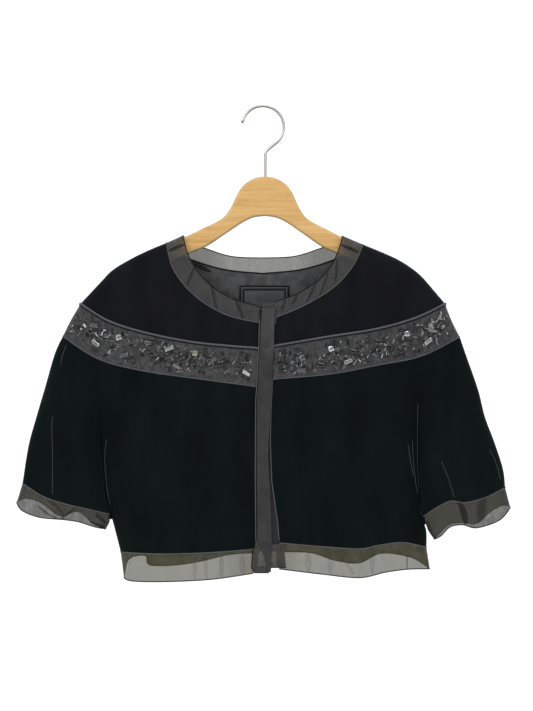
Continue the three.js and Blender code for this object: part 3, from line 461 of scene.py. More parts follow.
def whole_back(make_side):
    """Both sides of the back in one surface: s from -1 at the right to 1 at the left."""
    sides = {side: make_side(side) for side in SIGN}

    def surface(s, b):
        s, b = np.broadcast_arrays(s, b)
        right = sides["right"](np.clip(-s, 0, 1), b)
        left = sides["left"](np.clip(s, 0, 1), b)
        return np.where((s < 0)[..., None], right, left)

    return surface


def columns_of(face, side, count):
    """Even shares across, from the viewer's left to right on a front and the other way on the back."""
    if face == "back":
        return np.linspace(1, -1, 2 * count + 1)
    return np.linspace(0, 1, count + 1) if side == "left" else np.linspace(1, 0, count + 1)


def sample(surface, columns, rows):
    """A grid of points, [across, down]."""
    s, b = np.meshgrid(columns, np.asarray(rows), indexing="ij")
    return surface(s, b)


def outward(grid):
    """Outward directions of a grid: down x across, level where the cloth folds over at its edge."""
    across = np.gradient(grid, axis=0)
    down = np.gradient(grid, axis=1)
    normal = np.cross(down, across)
    normal[np.abs(grid[..., 1]) < FOLD_OVER, 1] = 0
    return normal / (np.linalg.norm(normal, axis=-1, keepdims=True) + 1e-12)


def cloth_wall(grid, thickness):
    """Points and faces of closed cloth of that thickness from a grid of its outer points.

    The cut edge is rounded by a rim between the two layers."""
    columns, rows = grid.shape[:2]
    normal = outward(grid)
    inner = grid - normal * thickness
    for end, beside_end in ((0, 1), (-1, -2)):
        inner[end] += EDGE_LEAN * thickness * unit(grid[beside_end] - grid[end])
        inner[:, end] += EDGE_LEAN * thickness * unit(grid[:, beside_end] - grid[:, end])
    loop = [(0, j) for j in range(rows)] + [(i, rows - 1) for i in range(1, columns)]
    loop += [(columns - 1, j) for j in range(rows - 2, -1, -1)] + [(i, 0) for i in range(columns - 2, 0, -1)]
    half = grid - normal * thickness / 2
    rim = []
    for i, j in loop:
        away = np.zeros(3)
        if i in (0, columns - 1):
            away += unit(grid[i, j] - grid[abs(i - 1), j])
        if j in (0, rows - 1):
            away += unit(grid[i, j] - grid[i, abs(j - 1)])
        rim.append(half[i, j] + away * thickness * EDGE_BULGE)
    points = np.concatenate([grid.reshape(-1, 3), inner.reshape(-1, 3), np.array(rim)])
    under = columns * rows
    faces = []
    for i in range(columns - 1):
        for j in range(rows - 1):
            a, b = i * rows + j, (i + 1) * rows + j
            faces.append((a, a + 1, b + 1, b))
            faces.append((under + a, under + b, under + b + 1, under + a + 1))
    for k, (i, j) in enumerate(loop):
        m = (k + 1) % len(loop)
        here, there = i * rows + j, loop[m][0] * rows + loop[m][1]
        faces.append((here, there, 2 * under + m, 2 * under + k))
        faces.append((2 * under + k, 2 * under + m, under + there, under + here))
    return points, faces


def unit(vectors):
    return vectors / (np.linalg.norm(vectors, axis=-1, keepdims=True) + 1e-12)


def sew(name, grid, wall, material, slot, node):
    """A piece of cloth from a grid of its outer points, which may stand for a node of the CAD model."""
    piece = make_piece(name, *cloth_wall(grid, wall), material, slot)
    if node:
        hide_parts(node)
    across = np.linalg.norm(np.diff(grid, axis=0), axis=-1)
    down = np.linalg.norm(np.diff(grid, axis=1), axis=-1)
    return piece


def grids_round(surface_of, count, rows, back_count=None):
    """Grids of the two fronts and the back of one part, by the ends of their names."""
    grids = {}
    for side in SIGN:
        grids[f"front_{side}"] = sample(surface_of("front", side), columns_of("front", side, count), rows)
    back = whole_back(lambda side: surface_of("back", side))
    return grids | {"back": sample(back, columns_of("back", None, back_count or count), rows)}


def sew_round(grids, name, wall, material, slot, node, back_material=None):
    """Sews the fronts and the back of one part. {} in a name stands for front_right and so on."""
    pieces = {}
    for end, grid in grids.items():
        cloth = back_material if end == "back" and back_material else material
        pieces[end] = sew(name.format(end), grid, wall, cloth, slot, node.format(end))
    return pieces


# Pile: soft patches where the nap lies another way, and its fine tufts
pile, pile_in, pile_out = effect("pile", {"Tuft": 0.0009, "Patch": 0.035}, ["Brushed", "Tufts"])
patch_scale = calc(pile, "DIVIDE", 1.0, pile_in.outputs["Patch"])
tuft_scale = calc(pile, "DIVIDE", 1.0, pile_in.outputs["Tuft"])
feed(pile_out, {
    "Brushed": cloudy(pile, place_in(pile, (1.0, 1.0, 0.32)), patch_scale, 3.0),
    "Tufts": cloudy(pile, place_in(pile), tuft_scale, 2.0, Roughness=0.7),
})


def velvet_finish(name, deep, brushed, bloom):
    """Black velvet: a dark pile that takes little light, with a soft bloom along its edges."""
    material, tree, shader = finish(
        name, Sheen_Weight=0.12, Sheen_Roughness=0.45, Sheen_Tint=(*bloom, 1), Specular_IOR_Level=0.12
    )
    nap = put(tree, "Group", node_tree=pile).outputs
    shade = calc(tree, "MULTIPLY_ADD", nap["Tufts"], 0.5, nap["Brushed"])
    rough = ramp(tree, nap["Brushed"], (0.3, 0.95), (0.7, 0.82))
    dress(shader, ramp(tree, shade, (0.45, deep), (1.05, brushed)), rough, nap["Tufts"], 0.0005, 0.6)
    return material


yoke_velvet = velvet_finish(
    "yoke velvet", (0.0028, 0.003, 0.0048), (0.0062, 0.0065, 0.0095), (0.5, 0.55, 0.66)
)


def yoke_surface(face, side):
    return ring_surface(face, side, "neck_seam", "band_top", SHOULDER[side])


yoke_grids = grids_round(yoke_surface, 70, np.linspace(0.003, 0.997, 30))
sew_round(yoke_grids, "yoke_velvet_{}", VELVET_WALL, yoke_velvet, "velvet", "yoke_{}")

# Band: a strip of dark satin, about 50 mm wide, round the fronts, the sleeve heads and the back. It
# is sewn between the yoke and the body, and puckers a little round the stones sewn on it.
SATIN_WALL = 1.2
BAND_RIDGE = {"right": [(-259, -287)], "left": [(255, -288)]}
PUCKER_HEIGHT = 0.6
PUCKER_ENDS = 10

# Weave: the fine crossing threads of satin and organza
weave, weave_in, weave_out = effect("weave", {"Thread": 0.0005}, ["Threads"])
weave_scale = calc(weave, "DIVIDE", 0.3, weave_in.outputs["Thread"])
wavy = {"Vector": place_in(weave), "Scale": weave_scale, "Distortion": 0.6, "Detail": 1.0}
warp, weft = (put(weave, "TexWave", wavy, bands_direction=way).outputs["Fac"] for way in "XZ")
feed(weave_out, {"Threads": calc(weave, "MULTIPLY", warp, weft)})


def threads_in(tree):
    return put(tree, "Group", node_tree=weave).outputs["Threads"]


def satin_finish(name, dark, light, roughness=(0.38, 0.52), rumple=0.0006, lower=1.0, fineness=55.0):
    """Dark satin: tight threads, soft rumples and a dull gloss. Its colour follows the rumples: partly a
    random mottle, partly painted shade in their hollows and painted highlight on their tops. Below the band
    it may be darkened by a painted shade.
    """
    material, tree, shader = finish(name, Sheen_Weight=0.08, Sheen_Roughness=0.4, Specular_IOR_Level=0.35)
    place = place_in(tree)
    rumples = cloudy(tree, place, fineness, 3.0, Distortion=0.8)
    # Painted shade: below the band the colour is darkened to the share lower.
    level = spread(tree, axis_of(tree, place, "Z"), -0.36, -0.32, lower, 1.0)
    relief = calc(tree, "MULTIPLY_ADD", threads_in(tree), 0.06, rumples)
    rough = ramp(tree, rumples, (0.3, roughness[0]), (0.7, roughness[1]))
    # The colour follows the rumples: partly a random mottle, partly painted shade in their hollows and
    # painted highlight on their tops.
    colour = darkened(tree, ramp(tree, rumples, (0.36, dark), (0.66, light)), level)
    dress(shader, colour, rough, relief, rumple, 0.8)
    return material


band_satin = satin_finish(
    "band satin", (0.02, 0.02, 0.0215), (0.06, 0.06, 0.062), rumple=0.0022, fineness=150.0
)


def puckered(surface):
    """The band's surface with small puckers that die out at its seams."""

    def rippled(s, b):
        points = surface(s, b)
        x, z = points[..., 0], points[..., 2]
        ripple = np.sin(x / 6.1 + 1.7 * np.sin(z / 9.0)) * np.sin(z / 7.3 + 1.3 * np.sin(x / 23.0))
        lift = PUCKER_HEIGHT * ripple * np.sin(np.pi * np.clip(b, 0, 1))
        depth = points[..., 1]
        points[..., 1] = depth + lift * np.sign(depth) * np.clip(np.abs(depth) / PUCKER_ENDS, 0, 1)
        return points

    return rippled


def band_surface(face, side):
    return puckered(ring_surface(face, side, "band_top", "band_bottom", BAND_RIDGE[side]))


band_grids = grids_round(band_surface, 120, np.linspace(0.003, 0.997, 26))
bands = sew_round(
    band_grids, "band_satin_{}", SATIN_WALL, band_satin, "beaded_band", "band_{}"
)

# Stones and beads: cut glass baguettes and squares, short bugles and round beads, sewn flat to the
# band in loose clusters. Some are black or smoke glass, some are clear with a foil back.
STONE_SIZES = {"baguette": (12.5, 6, 2.6), "square": (8, 8, 2.6)}
BUGLE = {"length": 7.0, "width": 1.7}
CHIP = {"length": (4, 8), "width": (2.6, 4.8), "height": 1.9}
BEAD_WIDTH = 2.6
# Where each is sewn: how far across, how far up the band, its turn in degrees and its glass
BEADWORK = {
    "right": [
        ("baguette", -22, 0.32, -32, "clear"), ("baguette", -24, 0.68, -62, "black"),
        ("baguette", -58, 0.47, 4, "black"), ("square", -91, 0.70, -8, "gold"),
        ("square", -95, 0.42, 20, "black"), ("baguette", -116, 0.26, -32, "smoke"),
        ("baguette", -126, 0.71, 20, "clear"), ("baguette", -123, 0.55, 28, "black"),
        ("square", -149, 0.49, 15, "black"), ("baguette", -155, 0.75, -8, "black"),
        ("baguette", -187, 0.29, 12, "smoke"), ("square", -194, 0.69, 10, "clear"),
        ("baguette", -225, 0.33, -35, "clear"), ("baguette", -228, 0.70, -5, "smoke"),
        ("square", -232, 0.52, 30, "black"), ("square", -71, 0.62, -15, "black"),
        ("bugle", -140, 0.68, 45, "black"), ("bugle", -189, 0.47, -28, "black"),
        ("bugle", -82, 0.17, 15, "black"), ("bugle", -238, 0.37, -55, "black"),
        ("bugle", -172, 0.60, 10, "smoke"), ("bugle", -39, 0.56, 60, "black"),
        ("bugle", -104, 0.62, -40, "black"), ("bugle", -210, 0.58, 35, "smoke"),
        ("bead", -214, 0.70, 0, "clear"), ("bead", -206, 0.23, 0, "clear"), ("bead", -136, 0.77, 0, "clear"),
        ("bead", -134, 0.22, 0, "smoke"), ("bead", -110, 0.61, 0, "gold"), ("bead", -98, 0.19, 0, "clear"),
        ("bead", -17, 0.62, 0, "clear"), ("bead", -35, 0.28, 0, "clear"), ("bead", -165, 0.53, 0, "gold"),
        ("bead", -45, 0.40, 0, "smoke"), ("bead", -75, 0.28, 0, "smoke"), ("bead", -237, 0.72, 0, "smoke"),
        ("bead", -247, 0.44, 0, "black"), ("bead", -103, 0.44, 0, "smoke"), ("bead", -256, 0.66, 0, "clear"),
        ("bead", -258, 0.48, 0, "clear"),
    ],
    "left": [
        ("square", 26, 0.73, 40, "black"), ("square", 53, 0.53, 20, "smoke"),
        ("baguette", 78, 0.28, -15, "black"), ("square", 92, 0.67, 18, "clear"),
        ("baguette", 115, 0.26, 22, "clear"), ("baguette", 122, 0.50, -12, "black"),
        ("square", 155, 0.63, 2, "black"), ("square", 156, 0.38, 5, "black"),
        ("baguette", 183, 0.29, -20, "black"), ("square", 194, 0.67, 2, "clear"),
        ("baguette", 223, 0.29, 38, "clear"), ("square", 226, 0.66, 6, "smoke"),
        ("baguette", 229, 0.49, -8, "black"), ("baguette", 51, 0.18, 0, "smoke"),
        ("baguette", 30, 0.44, -40, "black"), ("bugle", 88, 0.49, 25, "black"),
        ("bugle", 130, 0.23, -45, "clear"), ("bugle", 140, 0.60, -35, "black"),
        ("bugle", 176, 0.55, 70, "black"), ("bugle", 192, 0.42, 30, "black"),
        ("bugle", 239, 0.31, 35, "smoke"), ("bugle", 70, 0.56, 50, "black"),
        ("bugle", 205, 0.52, -20, "smoke"),
        ("bead", 30, 0.22, 0, "clear"), ("bead", 101, 0.47, 0, "clear"), ("bead", 96, 0.20, 0, "smoke"),
        ("bead", 93, 0.32, 0, "clear"), ("bead", 111, 0.65, 0, "gold"), ("bead", 112, 0.42, 0, "clear"),
        ("bead", 169, 0.25, 0, "clear"), ("bead", 167, 0.70, 0, "clear"), ("bead", 181, 0.47, 0, "smoke"),
        ("bead", 203, 0.24, 0, "clear"), ("bead", 214, 0.64, 0, "gold"), ("bead", 236, 0.74, 0, "clear"),
        ("bead", 241, 0.45, 0, "clear"), ("bead", 135, 0.72, 0, "clear"), ("bead", 145, 0.43, 0, "smoke"),
        ("bead", 63, 0.32, 0, "smoke"),
    ],
}
LOOSE_A_SIDE = {"seed": 340, "bugle": 100, "chip": 150}
DRIFT = {"across": 13, "up": 0.13}
BEADED_ACROSS = (16, 262)
BEADED_UP = (0.14, 0.82)
TILT = 0.05
CORNER_CROP = 0.2


def cut_stone(length, width, height):
    """A step-cut stone with cropped corners, its back at 0: rings of eight points and flat faces."""
    crop = CORNER_CROP * min(length, width)
    points = []
    for in_share, level in ((0.08, 0.0), (0.0, 0.28), (0.0, 0.42), (0.12, 0.8), (0.23, 1.0)):
        x, y = length / 2 - in_share * width, width / 2 - in_share * width
        c = crop * (1 - in_share)
        half_ring = [(x, c - y), (x, y - c), (x - c, y), (c - x, y)]
        points += [(px, py, level * height) for px, py in half_ring]
        points += [(-px, -py, level * height) for px, py in half_ring]
    return np.array(points), ring_faces(8, 5)


def round_bead(width):
    """A faceted round bead that sits on the cloth."""
    levels = np.radians([-60, -20, 20, 60])
    turns = np.linspace(0, 2 * math.pi, 7, endpoint=False)
    r = width / 2
    points = [(0, 0, 0.1 * r)]
    for k, level in enumerate(levels):
        points += [
            (r * math.cos(level) * math.cos(t + 0.22 * k), r * math.cos(level) * math.sin(t + 0.22 * k),
             r * (1 + math.sin(level)) * 0.9 + 0.1 * r)
            for t in turns
        ]
    points.append((0, 0, 1.9 * r))
    faces = [(0, 1 + (i + 1) % 7, 1 + i) for i in range(7)]
    faces += [
        (1 + 7 * k + i, 1 + 7 * k + (i + 1) % 7, 8 + 7 * k + (i + 1) % 7, 8 + 7 * k + i)
        for k in range(3)
        for i in range(7)
    ]
    faces += [(22 + i, 22 + (i + 1) % 7, 29) for i in range(7)]
    return np.array(points), faces


def ground_of(piece):
    """A search tree that finds where a line from the front or back meets a piece."""
    mesh = piece.data
    return BVHTree.FromPolygons([v.co[:] for v in mesh.vertices], [p.vertices[:] for p in mesh.polygons])


def land_on(ground, face, x, z):
    """The point and outward direction where a piece is met at a place in the front view."""
    start = Vector((x * MM, FACING[face], z * MM))
    hit, normal, _, _ = ground.ray_cast(start, Vector((0, -FACING[face], 0)))
    if hit is None:
        return None
    if normal.y * FACING[face] < 0:
        normal = -normal
    return np.array(hit) / MM, np.array(normal)


def sewn_on(shape, point, normal, turn, face):
    """A shape's points set on the cloth, turned so that a positive turn lifts its end at the right."""
    along = unit(np.cross((0, 0, 1), normal) * FACING[face])
    upward = np.cross(normal, along) * FACING[face]
    angle = math.radians(turn)
    heading = math.cos(angle) * along - math.sin(angle) * upward
    sideways = np.cross(normal, heading)
    return point + shape[:, :1] * heading + shape[:, 1:2] * sideways + shape[:, 2:] * normal


def glass_finish(name, colour, roughness, **sockets):
    """Cut glass: a hard gloss, with faint wear where threads and cloth rub it."""
    material, tree, shader = finish(name, Coat_Weight=1.0, Coat_Roughness=0.03, **sockets)
    touched = handled(tree, 0.003)
    dim = tuple(0.72 * channel for channel in colour)
    feed(shader, {
        "Base Color": ramp(tree, touched, (0.35, dim), (0.65, colour)),
        "Roughness": ramp(tree, touched, (0.4, roughness), (0.75, roughness + 0.1)),
    })
    return material


GLASS = {
    "black": glass_finish("black glass", (0.006, 0.006, 0.008), 0.05),
    "smoke": glass_finish("smoke glass", (0.12, 0.122, 0.128), 0.12, Metallic=0.4),
    "clear": glass_finish("foiled clear glass", (0.5, 0.5, 0.51), 0.12, Metallic=0.8),
    "gold": glass_finish("foiled pale gold glass", (0.34, 0.33, 0.26), 0.2, Metallic=0.7),
}
scatter = np.random.default_rng(5)


def loose_beads(side):
    """Small beads and bugles sewn between the stones, in drifts along the band."""
    stones = [row for row in BEADWORK[side] if row[0] in STONE_SIZES]
    rows = []
    for kind in (kind for kind, count in LOOSE_A_SIDE.items() for _ in range(count)):
        _, x, up, _, _ = stones[scatter.integers(len(stones))]
        x += scatter.normal(0, DRIFT["across"])
        up = float(np.clip(up + scatter.normal(0, DRIFT["up"]), *BEADED_UP))
        if BEADED_ACROSS[0] < abs(x) < BEADED_ACROSS[1]:
            glass = ["black", "smoke", "black", "clear" if kind == "seed" and not len(rows) % 4 else "black"]
            rows.append((kind, x, up, scatter.uniform(-90, 90), glass[scatter.integers(4)]))
    return rows


def bead_shape(kind):
    """Points and faces of one stone, chip, bugle or bead, on cloth at 0."""
    if kind in STONE_SIZES:
        return cut_stone(*STONE_SIZES[kind])
    if kind == "bugle":
        reach, r = BUGLE["length"] * scatter.uniform(0.6, 1) / 2, BUGLE["width"] / 2
        return tube([(-reach, 0, r), (0, 0, r), (reach, 0, r)], r, 6)
    if kind == "chip":
        return cut_stone(scatter.uniform(*CHIP["length"]), scatter.uniform(*CHIP["width"]), CHIP["height"])
    return round_bead(BEAD_WIDTH if kind == "bead" else BEAD_WIDTH * scatter.uniform(0.5, 0.75))


def band_level(rings, side, x, up):
    """The height of a place that lies a share of the way up the band."""
    top, bottom = rings
    lower, upper = (np.interp(SIGN[side] * x, SIGN[side] * ring[:, 0], ring[:, 1]) for ring in (bottom, top))
    if abs(x) > abs(top[-1, 0]):
        upper = np.interp(abs(x), [abs(top[-1, 0]), abs(bottom[-1, 0])], [top[-1, 1], bottom[-1, 1]])
    return mix(lower, upper, up)


for face, side in ((face, side) for face in FACING for side in SIGN):
    ground = ground_of(bands["back" if face == "back" else f"front_{side}"])
    rings = [ring_line(face, side, name)(np.linspace(0, 1, 200)) for name in ("band_top", "band_bottom")]
    heaps = {glass: ([], []) for glass in GLASS}
    for kind, x, up, turn, glass in BEADWORK[side] + loose_beads(side):
        landed = land_on(ground, face, x, band_level(rings, side, x, up))
        if landed is None:
            continue
        shape, faces = bead_shape(kind)
        points, all_faces = heaps[glass]
        start = sum(len(part) for part in points)
        tilt = unit(landed[1] + scatter.normal(0, TILT, 3))
        points.append(sewn_on(shape, landed[0], tilt, turn, face))
        all_faces += [tuple(start + corner for corner in one) for one in faces]
    for glass, (points, faces) in heaps.items():
        if points:
            name = f"stones_{glass}_{face}_{side}"
            make_piece(name, np.concatenate(points), faces, GLASS[glass], "beaded_band", sharp=12)

# Body: two fronts and a back of the same velvet, from the band to the hem. The side seams hang
# straight, and the fronts end at the placket.
BODY = {
    "underarm": {"front": 38, "back": 32, "square": 2.2},
    "hem": {"front": 35, "back": 31, "square": 2.1},
    "edge": {"front": 38, "back": 33, "square": 2.1},
}
ARMHOLE_AT = {"right": 0.785, "left": 0.79}
BODY_UNDERARM_AT = 0.36
BODY_OUTLINE = {
    "right": {
        "armhole": [(-221, -385)],
        "underarm": (-219.5, -436),
        "side": [(-216.5, -476), (-213.5, -521), (-204, -554)],
        "side_hem": (-192, -600),
        "side_edge": (-187.5, -635),
    },
    "left": {
        "armhole": [(211, -385)],
        "underarm": (210.5, -436),
        "side": [(211, -480), (213, -530), (216.5, -556), (221, -573)],
        "side_hem": (221, -594),
        "side_edge": (225.5, -623),
    },
}
FRONT_EDGE = {
    "right": [(-7.5, -400), (-7.5, -500)],
    "left": [(11, -410), (10, -450), (12, -504), (20, -560)],
}
HEMS = {
    "right": {
        "front": [(-7, -595), (-70, -600), (-140, -602)],
        "back": [(0, -573), (-60, -577), (-120, -588), (-165, -587)],
    },
    "left": {
        "front": [(22, -587), (80, -592), (130, -595), (158, -590), (190, -587)],
        "back": [(0, -573), (60, -573), (120, -587), (165, -576), (200, -579)],
    },
}


def joined(first, second, at):
    """One line and then another, the first ending at the share `at`."""

    def both(share):
        share = np.asarray(share, float)
        before = first(np.clip(share / at, 0, 1))
        after = second(np.clip((share - at) / (1 - at), 0, 1))
        return np.where((share < at)[..., None], before, after)

    return both


def ring_depth(face, share):
    """Depth on the band's lower ring, carried down the armhole."""
    square = RING["band_bottom"]["square"]
    return RING["band_bottom"][face] * (1 - np.clip(share, 0, 1) ** square) ** (1 / square)


def armhole_line(face, side):
    start = ring_line(face, side, "band_bottom")(ARMHOLE_AT[side])
    return line([tuple(start), *BODY_OUTLINE[side]["armhole"], BODY_OUTLINE[side]["underarm"]])


def hanging_section(sizes, face, down, underarm_at):
    """Shares down the armhole and below it, with the depth and squareness of the section there."""
    beside_armhole = np.clip(down / underarm_at, 0, 1)
    below = np.clip((down - underarm_at) / (1 - underarm_at), 0, 1)
    depth, square = (mix(sizes["underarm"][key], sizes["hem"][key], below) for key in (face, "square"))
    return beside_armhole, below, depth, square


def body_surface(face, side):
    """The body below the band on one side. s runs from the centre to the side seam, b to the hem."""
    cut, hem = BODY_OUTLINE[side], HEMS[side][face]
    share = ARMHOLE_AT[side]
    ring = ring_line(face, side, "band_bottom")
    side_line = line([cut["underarm"], *cut["side"], cut["side_hem"]])
    whole_side = joined(armhole_line(face, side), side_line, BODY_UNDERARM_AT)
    middle = [(0, -450)] if face == "back" else FRONT_EDGE[side]
    centre = line([tuple(ring(0)), *middle, hem[0]])
    aside = np.array((-SIGN[side] * SEAM_GAP / 2, 0))
    bottom = line([*hem, cut["side_hem"]])
    place = patch(lambda a: ring(np.asarray(a) * share), bottom, centre, lambda b: whole_side(b) + aside)

    def surface(s, b):
        t, _, depth, square = hanging_section(BODY, face, b, BODY_UNDERARM_AT)
        angle = s * (np.pi / 2 - seam_angle(depth, square))
        a = np.sin(angle) ** (2 / square)
        round_tube = depth * np.cos(angle) ** (2 / square)
        swell = np.hypot(np.sqrt(1 - t) * ring_depth(face, a * share), np.sqrt(t) * round_tube)
        at = place(a, b)
        return on_cloth(at, face, swell, crease_height(face, at) * np.cos(angle))

    return surface


def rows_down(underarm_at, count):
    """Shares down a piece, closer together where it leaves the band."""
    upper = underarm_at * np.sin(np.linspace(0.004, 1, 34) * np.pi / 2)
    return np.concatenate([upper, np.linspace(underarm_at, 0.998, count)[1:]])


body_velvet = velvet_finish(
    "body velvet", (0.0003, 0.0018, 0.0021), (0.0013, 0.0044, 0.005), (0.12, 0.3, 0.33)
)
body_grids = grids_round(body_surface, 70, rows_down(BODY_UNDERARM_AT, 46))
sew_round(body_grids, "body_velvet_{}", VELVET_WALL, body_velvet, "velvet", "{}")

# Sleeves: elbow length, each of a front and a back piece of velvet, with a seam down the outside of
# the arm and one under it. They hang a little forward from the band.
SLEEVE = {
    "underarm": {"front": 24, "back": 22, "square": 2.2},
    "hem": {"front": 21, "back": 19, "square": 2.1},
    "edge": {"front": 25, "back": 22, "square": 2.1},
}
SLEEVE_UNDERARM_AT = 0.44
SLEEVE_FORWARD = 7
OVERARM_SEAM = {"right": {"band": 0.86, "cuff": 0.64}, "left": {"band": 1, "cuff": 1}}
OVERARM_GAP = 0.001
SLEEVE_OUTLINE = {
    "right": {
        "inside": [(-217.6, -465), (-215.5, -495), (-212.7, -526)],
        "inside_hem": (-207, -549),
        "outside": [(-281, -333), (-294, -378), (-304, -412), (-316, -456)],
        "outside_hem": (-324, -507),
        "front_hem": [(-240, -541), (-265, -535), (-295, -525)],
        "back_hem": [(-235, -528), (-262, -516), (-295, -508)],
        "cuff_fold": [(-206.5, -559)],
        "cuff_inside": (-211.5, -569),
        "cuff_outside": (-332, -533),
        "cuff_front": [(-226, -566), (-248, -559), (-268, -556), (-300, -553), (-324, -544)],
        "cuff_back": [(-228, -563), (-250, -546), (-274, -552), (-300, -534), (-320, -528)],
    },
    "left": {
        "inside": [(211.1, -465), (212.1, -500)],
        "inside_hem": (216.6, -552),
        "outside": [(275, -336), (291, -382), (300, -418), (313, -453), (324, -488)],
        "outside_hem": (327, -513),
        "front_hem": [(234, -540), (253, -531), (272, -533), (300, -526)],
        "back_hem": [(236, -536), (262, -524), (296, -514)],
        "cuff_fold": [(222.5, -570)],
        "cuff_inside": (231, -583),
        "cuff_outside": (334, -540),
        "cuff_front": [(240, -578), (252, -566), (269, -563), (288, -567), (318, -557)],
        "cuff_back": [(240, -574), (252, -563.5), (270, -561), (290, -562), (308, -546), (325, -537)],
    },
}


def across_tube(phi, square):
    """Place across a tube, from 0 at its inside fold to 1 outside, for an angle round it."""
    cosine = -np.cos(phi)
    return (1 + np.sign(cosine) * np.abs(cosine) ** (2 / square)) / 2


def hangs_forward(lower):
    """The sleeve's middle plane, which swings forward below the underarm."""
    rise = np.clip(lower / 0.9, 0, 1)
    return -SLEEVE_FORWARD * rise * rise * (3 - 2 * rise)


def sleeve_hem(side, face):
    cut = SLEEVE_OUTLINE[side]
    return line([cut["inside_hem"], *cut[f"{face}_hem"], cut["outside_hem"]])


def round_arm(half):
    """A surface round the arm from its front and back halves. phi starts at the inside fold."""

    def surface(phi, c):
        phi, c = np.broadcast_arrays(phi, c)
        return np.where((phi <= np.pi)[..., None], half("front", phi, c), half("back", phi, c))

    return surface


def sleeve_surface(side):
    """A sleeve. phi runs round it from the inside fold, the front first; c runs down to the cuff."""
    cut, share = SLEEVE_OUTLINE[side], ARMHOLE_AT[side]
    outer = line([FRONT_RINGS[side]["band_bottom"][-1], *cut["outside"], cut["outside_hem"]])
    inside = line([BODY_OUTLINE[side]["underarm"], *cut["inside"], cut["inside_hem"]])
    aside = np.array((SIGN[side] * SEAM_GAP / 2, 0))

    def face_patch(face):
        ring = ring_line(face, side, "band_bottom")
        inner = joined(armhole_line(face, side), inside, SLEEVE_UNDERARM_AT)
        return patch(
            lambda across: ring(mix(share, 1, np.asarray(across))),
            sleeve_hem(side, face),
            lambda b: inner(b) + aside,
            outer,
        )

    places = {face: face_patch(face) for face in FACING}

    def half(face, phi, c):
        t, lower, depth, square = hanging_section(SLEEVE, face, c, SLEEVE_UNDERARM_AT)
        across = across_tube(phi, square)
        round_tube = depth * np.abs(np.sin(phi)) ** (2 / square)
        swell = np.hypot(np.sqrt(1 - t) * ring_depth(face, mix(share, 1, across)), np.sqrt(t) * round_tube)
        at = places[face](across, c)
        return on_cloth(at, face, swell, crease_height(face, at) * np.abs(np.sin(phi)), hangs_forward(lower))

    return round_arm(half)


def overarm_angle(side, c):
    """The angle of the seam down the outside of the arm."""
    seam = OVERARM_SEAM[side]
    across = mix(seam["band"], seam["cuff"], c)
    return np.arccos(-np.sign(2 * across - 1) * np.abs(2 * across - 1) ** (SLEEVE["hem"]["square"] / 2))


FOLD_ANGLE = float(seam_angle(SLEEVE["hem"]["back"], SLEEVE["hem"]["square"]))
sleeve_rows = rows_down(SLEEVE_UNDERARM_AT, 40)
for side in SIGN:
    seam = overarm_angle(side, sleeve_rows)
    for face in FACING:
        first = FOLD_ANGLE if face == "front" else seam + OVERARM_GAP
        last = seam - OVERARM_GAP if face == "front" else 2 * np.pi - FOLD_ANGLE
        phi = mix(first, last, np.linspace(0, 1, 61)[:, None])
        grid = sleeve_surface(side)(phi, np.broadcast_to(sleeve_rows, phi.shape))[:: SIGN[side]]
        name = f"sleeve_velvet_{face}_{side}"
        sew(name, grid, VELVET_WALL, body_velvet, "velvet", f"sleeve_{face}_{side}")

# Neck edging: a strip of sheer black organza, a finger wide, folded into small tucks and sewn round
# the neck above the yoke. Its free edge is rolled by hand.
SHEER_WALL = 0.35
# Small pressed tucks: from x, z to x, z, the width and the height
NECK_TUCKS = {
    "left": [
        (88, -222, 77, -254, 2.2, 1.1), (72, -236, 59, -263, 2.4, 1.2), (52, -242, 39, -267, 2.4, 1.2),
        (32, -253, 25, -275, 2.2, 1.0), (100, -206, 98, -236, 2.4, 0.8),
    ],
    "right": [
        (-92, -214, -102, -240, 2.6, 0.8), (-70, -240, -62, -272, 2.6, 0.9),
        (-38, -258, -26, -286, 3.0, 0.9),
    ],
}


def organza_finish(name, colour, cover, crinkle=0.012, gather=(0.02, 0.05, 0.0)):
    """Sheer organza: light passes between its threads. A wall's two faces share its cover.

    gather: how far from the middle it starts and ends, in metres, and the cover it adds."""
    material, tree, shader = finish(name, Sheen_Weight=0.04, Sheen_Roughness=0.3, Specular_IOR_Level=0.3)
    drift = cloudy(tree, place_in(tree, (1.0, 1.0, 0.4)), 150.0, 2.0, Distortion=0.8)
    density = calc(tree, "MULTIPLY_ADD", threads_in(tree), 0.03, drift)
    start, end, more = gather
    from_middle = calc(tree, "ABSOLUTE", axis_of(tree, place_in(tree), "X"))
    covered = ramp(tree, density, (0.35, cover - crinkle), (0.68, cover + crinkle))
    alpha = calc(tree, "ADD", covered, spread(tree, from_middle, start, end, 0.0, more))
    feed(shader, {"Alpha": alpha})
    dark = tuple(0.8 * channel for channel in colour)
    rough = ramp(tree, drift, (0.3, 0.45), (0.7, 0.6))
    dress(shader, ramp(tree, drift, (0.3, dark), (0.7, colour)), rough, density, 0.0001, 0.5)
    return material


neck_organza = organza_finish("neck organza", (0.068, 0.068, 0.068), 0.52)
back_neck_organza = organza_finish(
    "back neck organza", (0.053, 0.0525, 0.014), 0.54, gather=(0.045, 0.075, 0.07)
)


def neck_surface(face, side):
    """The edging's surface. The fronts have their pressed tucks."""
    plain = ring_surface(face, side, "neck_edge", "neck_seam")

    def tucked(s, b):
        points = plain(s, b)
        at = points[..., [0, 2]]
        for x0, z0, x1, z1, width, height in NECK_TUCKS[side]:
            share, aside = beside(at, (x0, z0), (x1, z1))
            profile = np.exp(-((aside / width) ** 2)) * (1 + 0.8 * np.tanh(aside / 0.8))
            points[..., 1] -= height * profile * np.sin(np.pi * np.clip(share * 0.9 + 0.05, 0, 1))
        return points

    return tucked if face == "front" else plain


neck_grids = grids_round(neck_surface, 130, np.linspace(0.004, 0.996, 22), back_count=110)
sew_round(
    neck_grids, "neck_organza_{}", SHEER_WALL, neck_organza, "sheer", "neck_edging_{}",
    back_material=back_neck_organza,
)

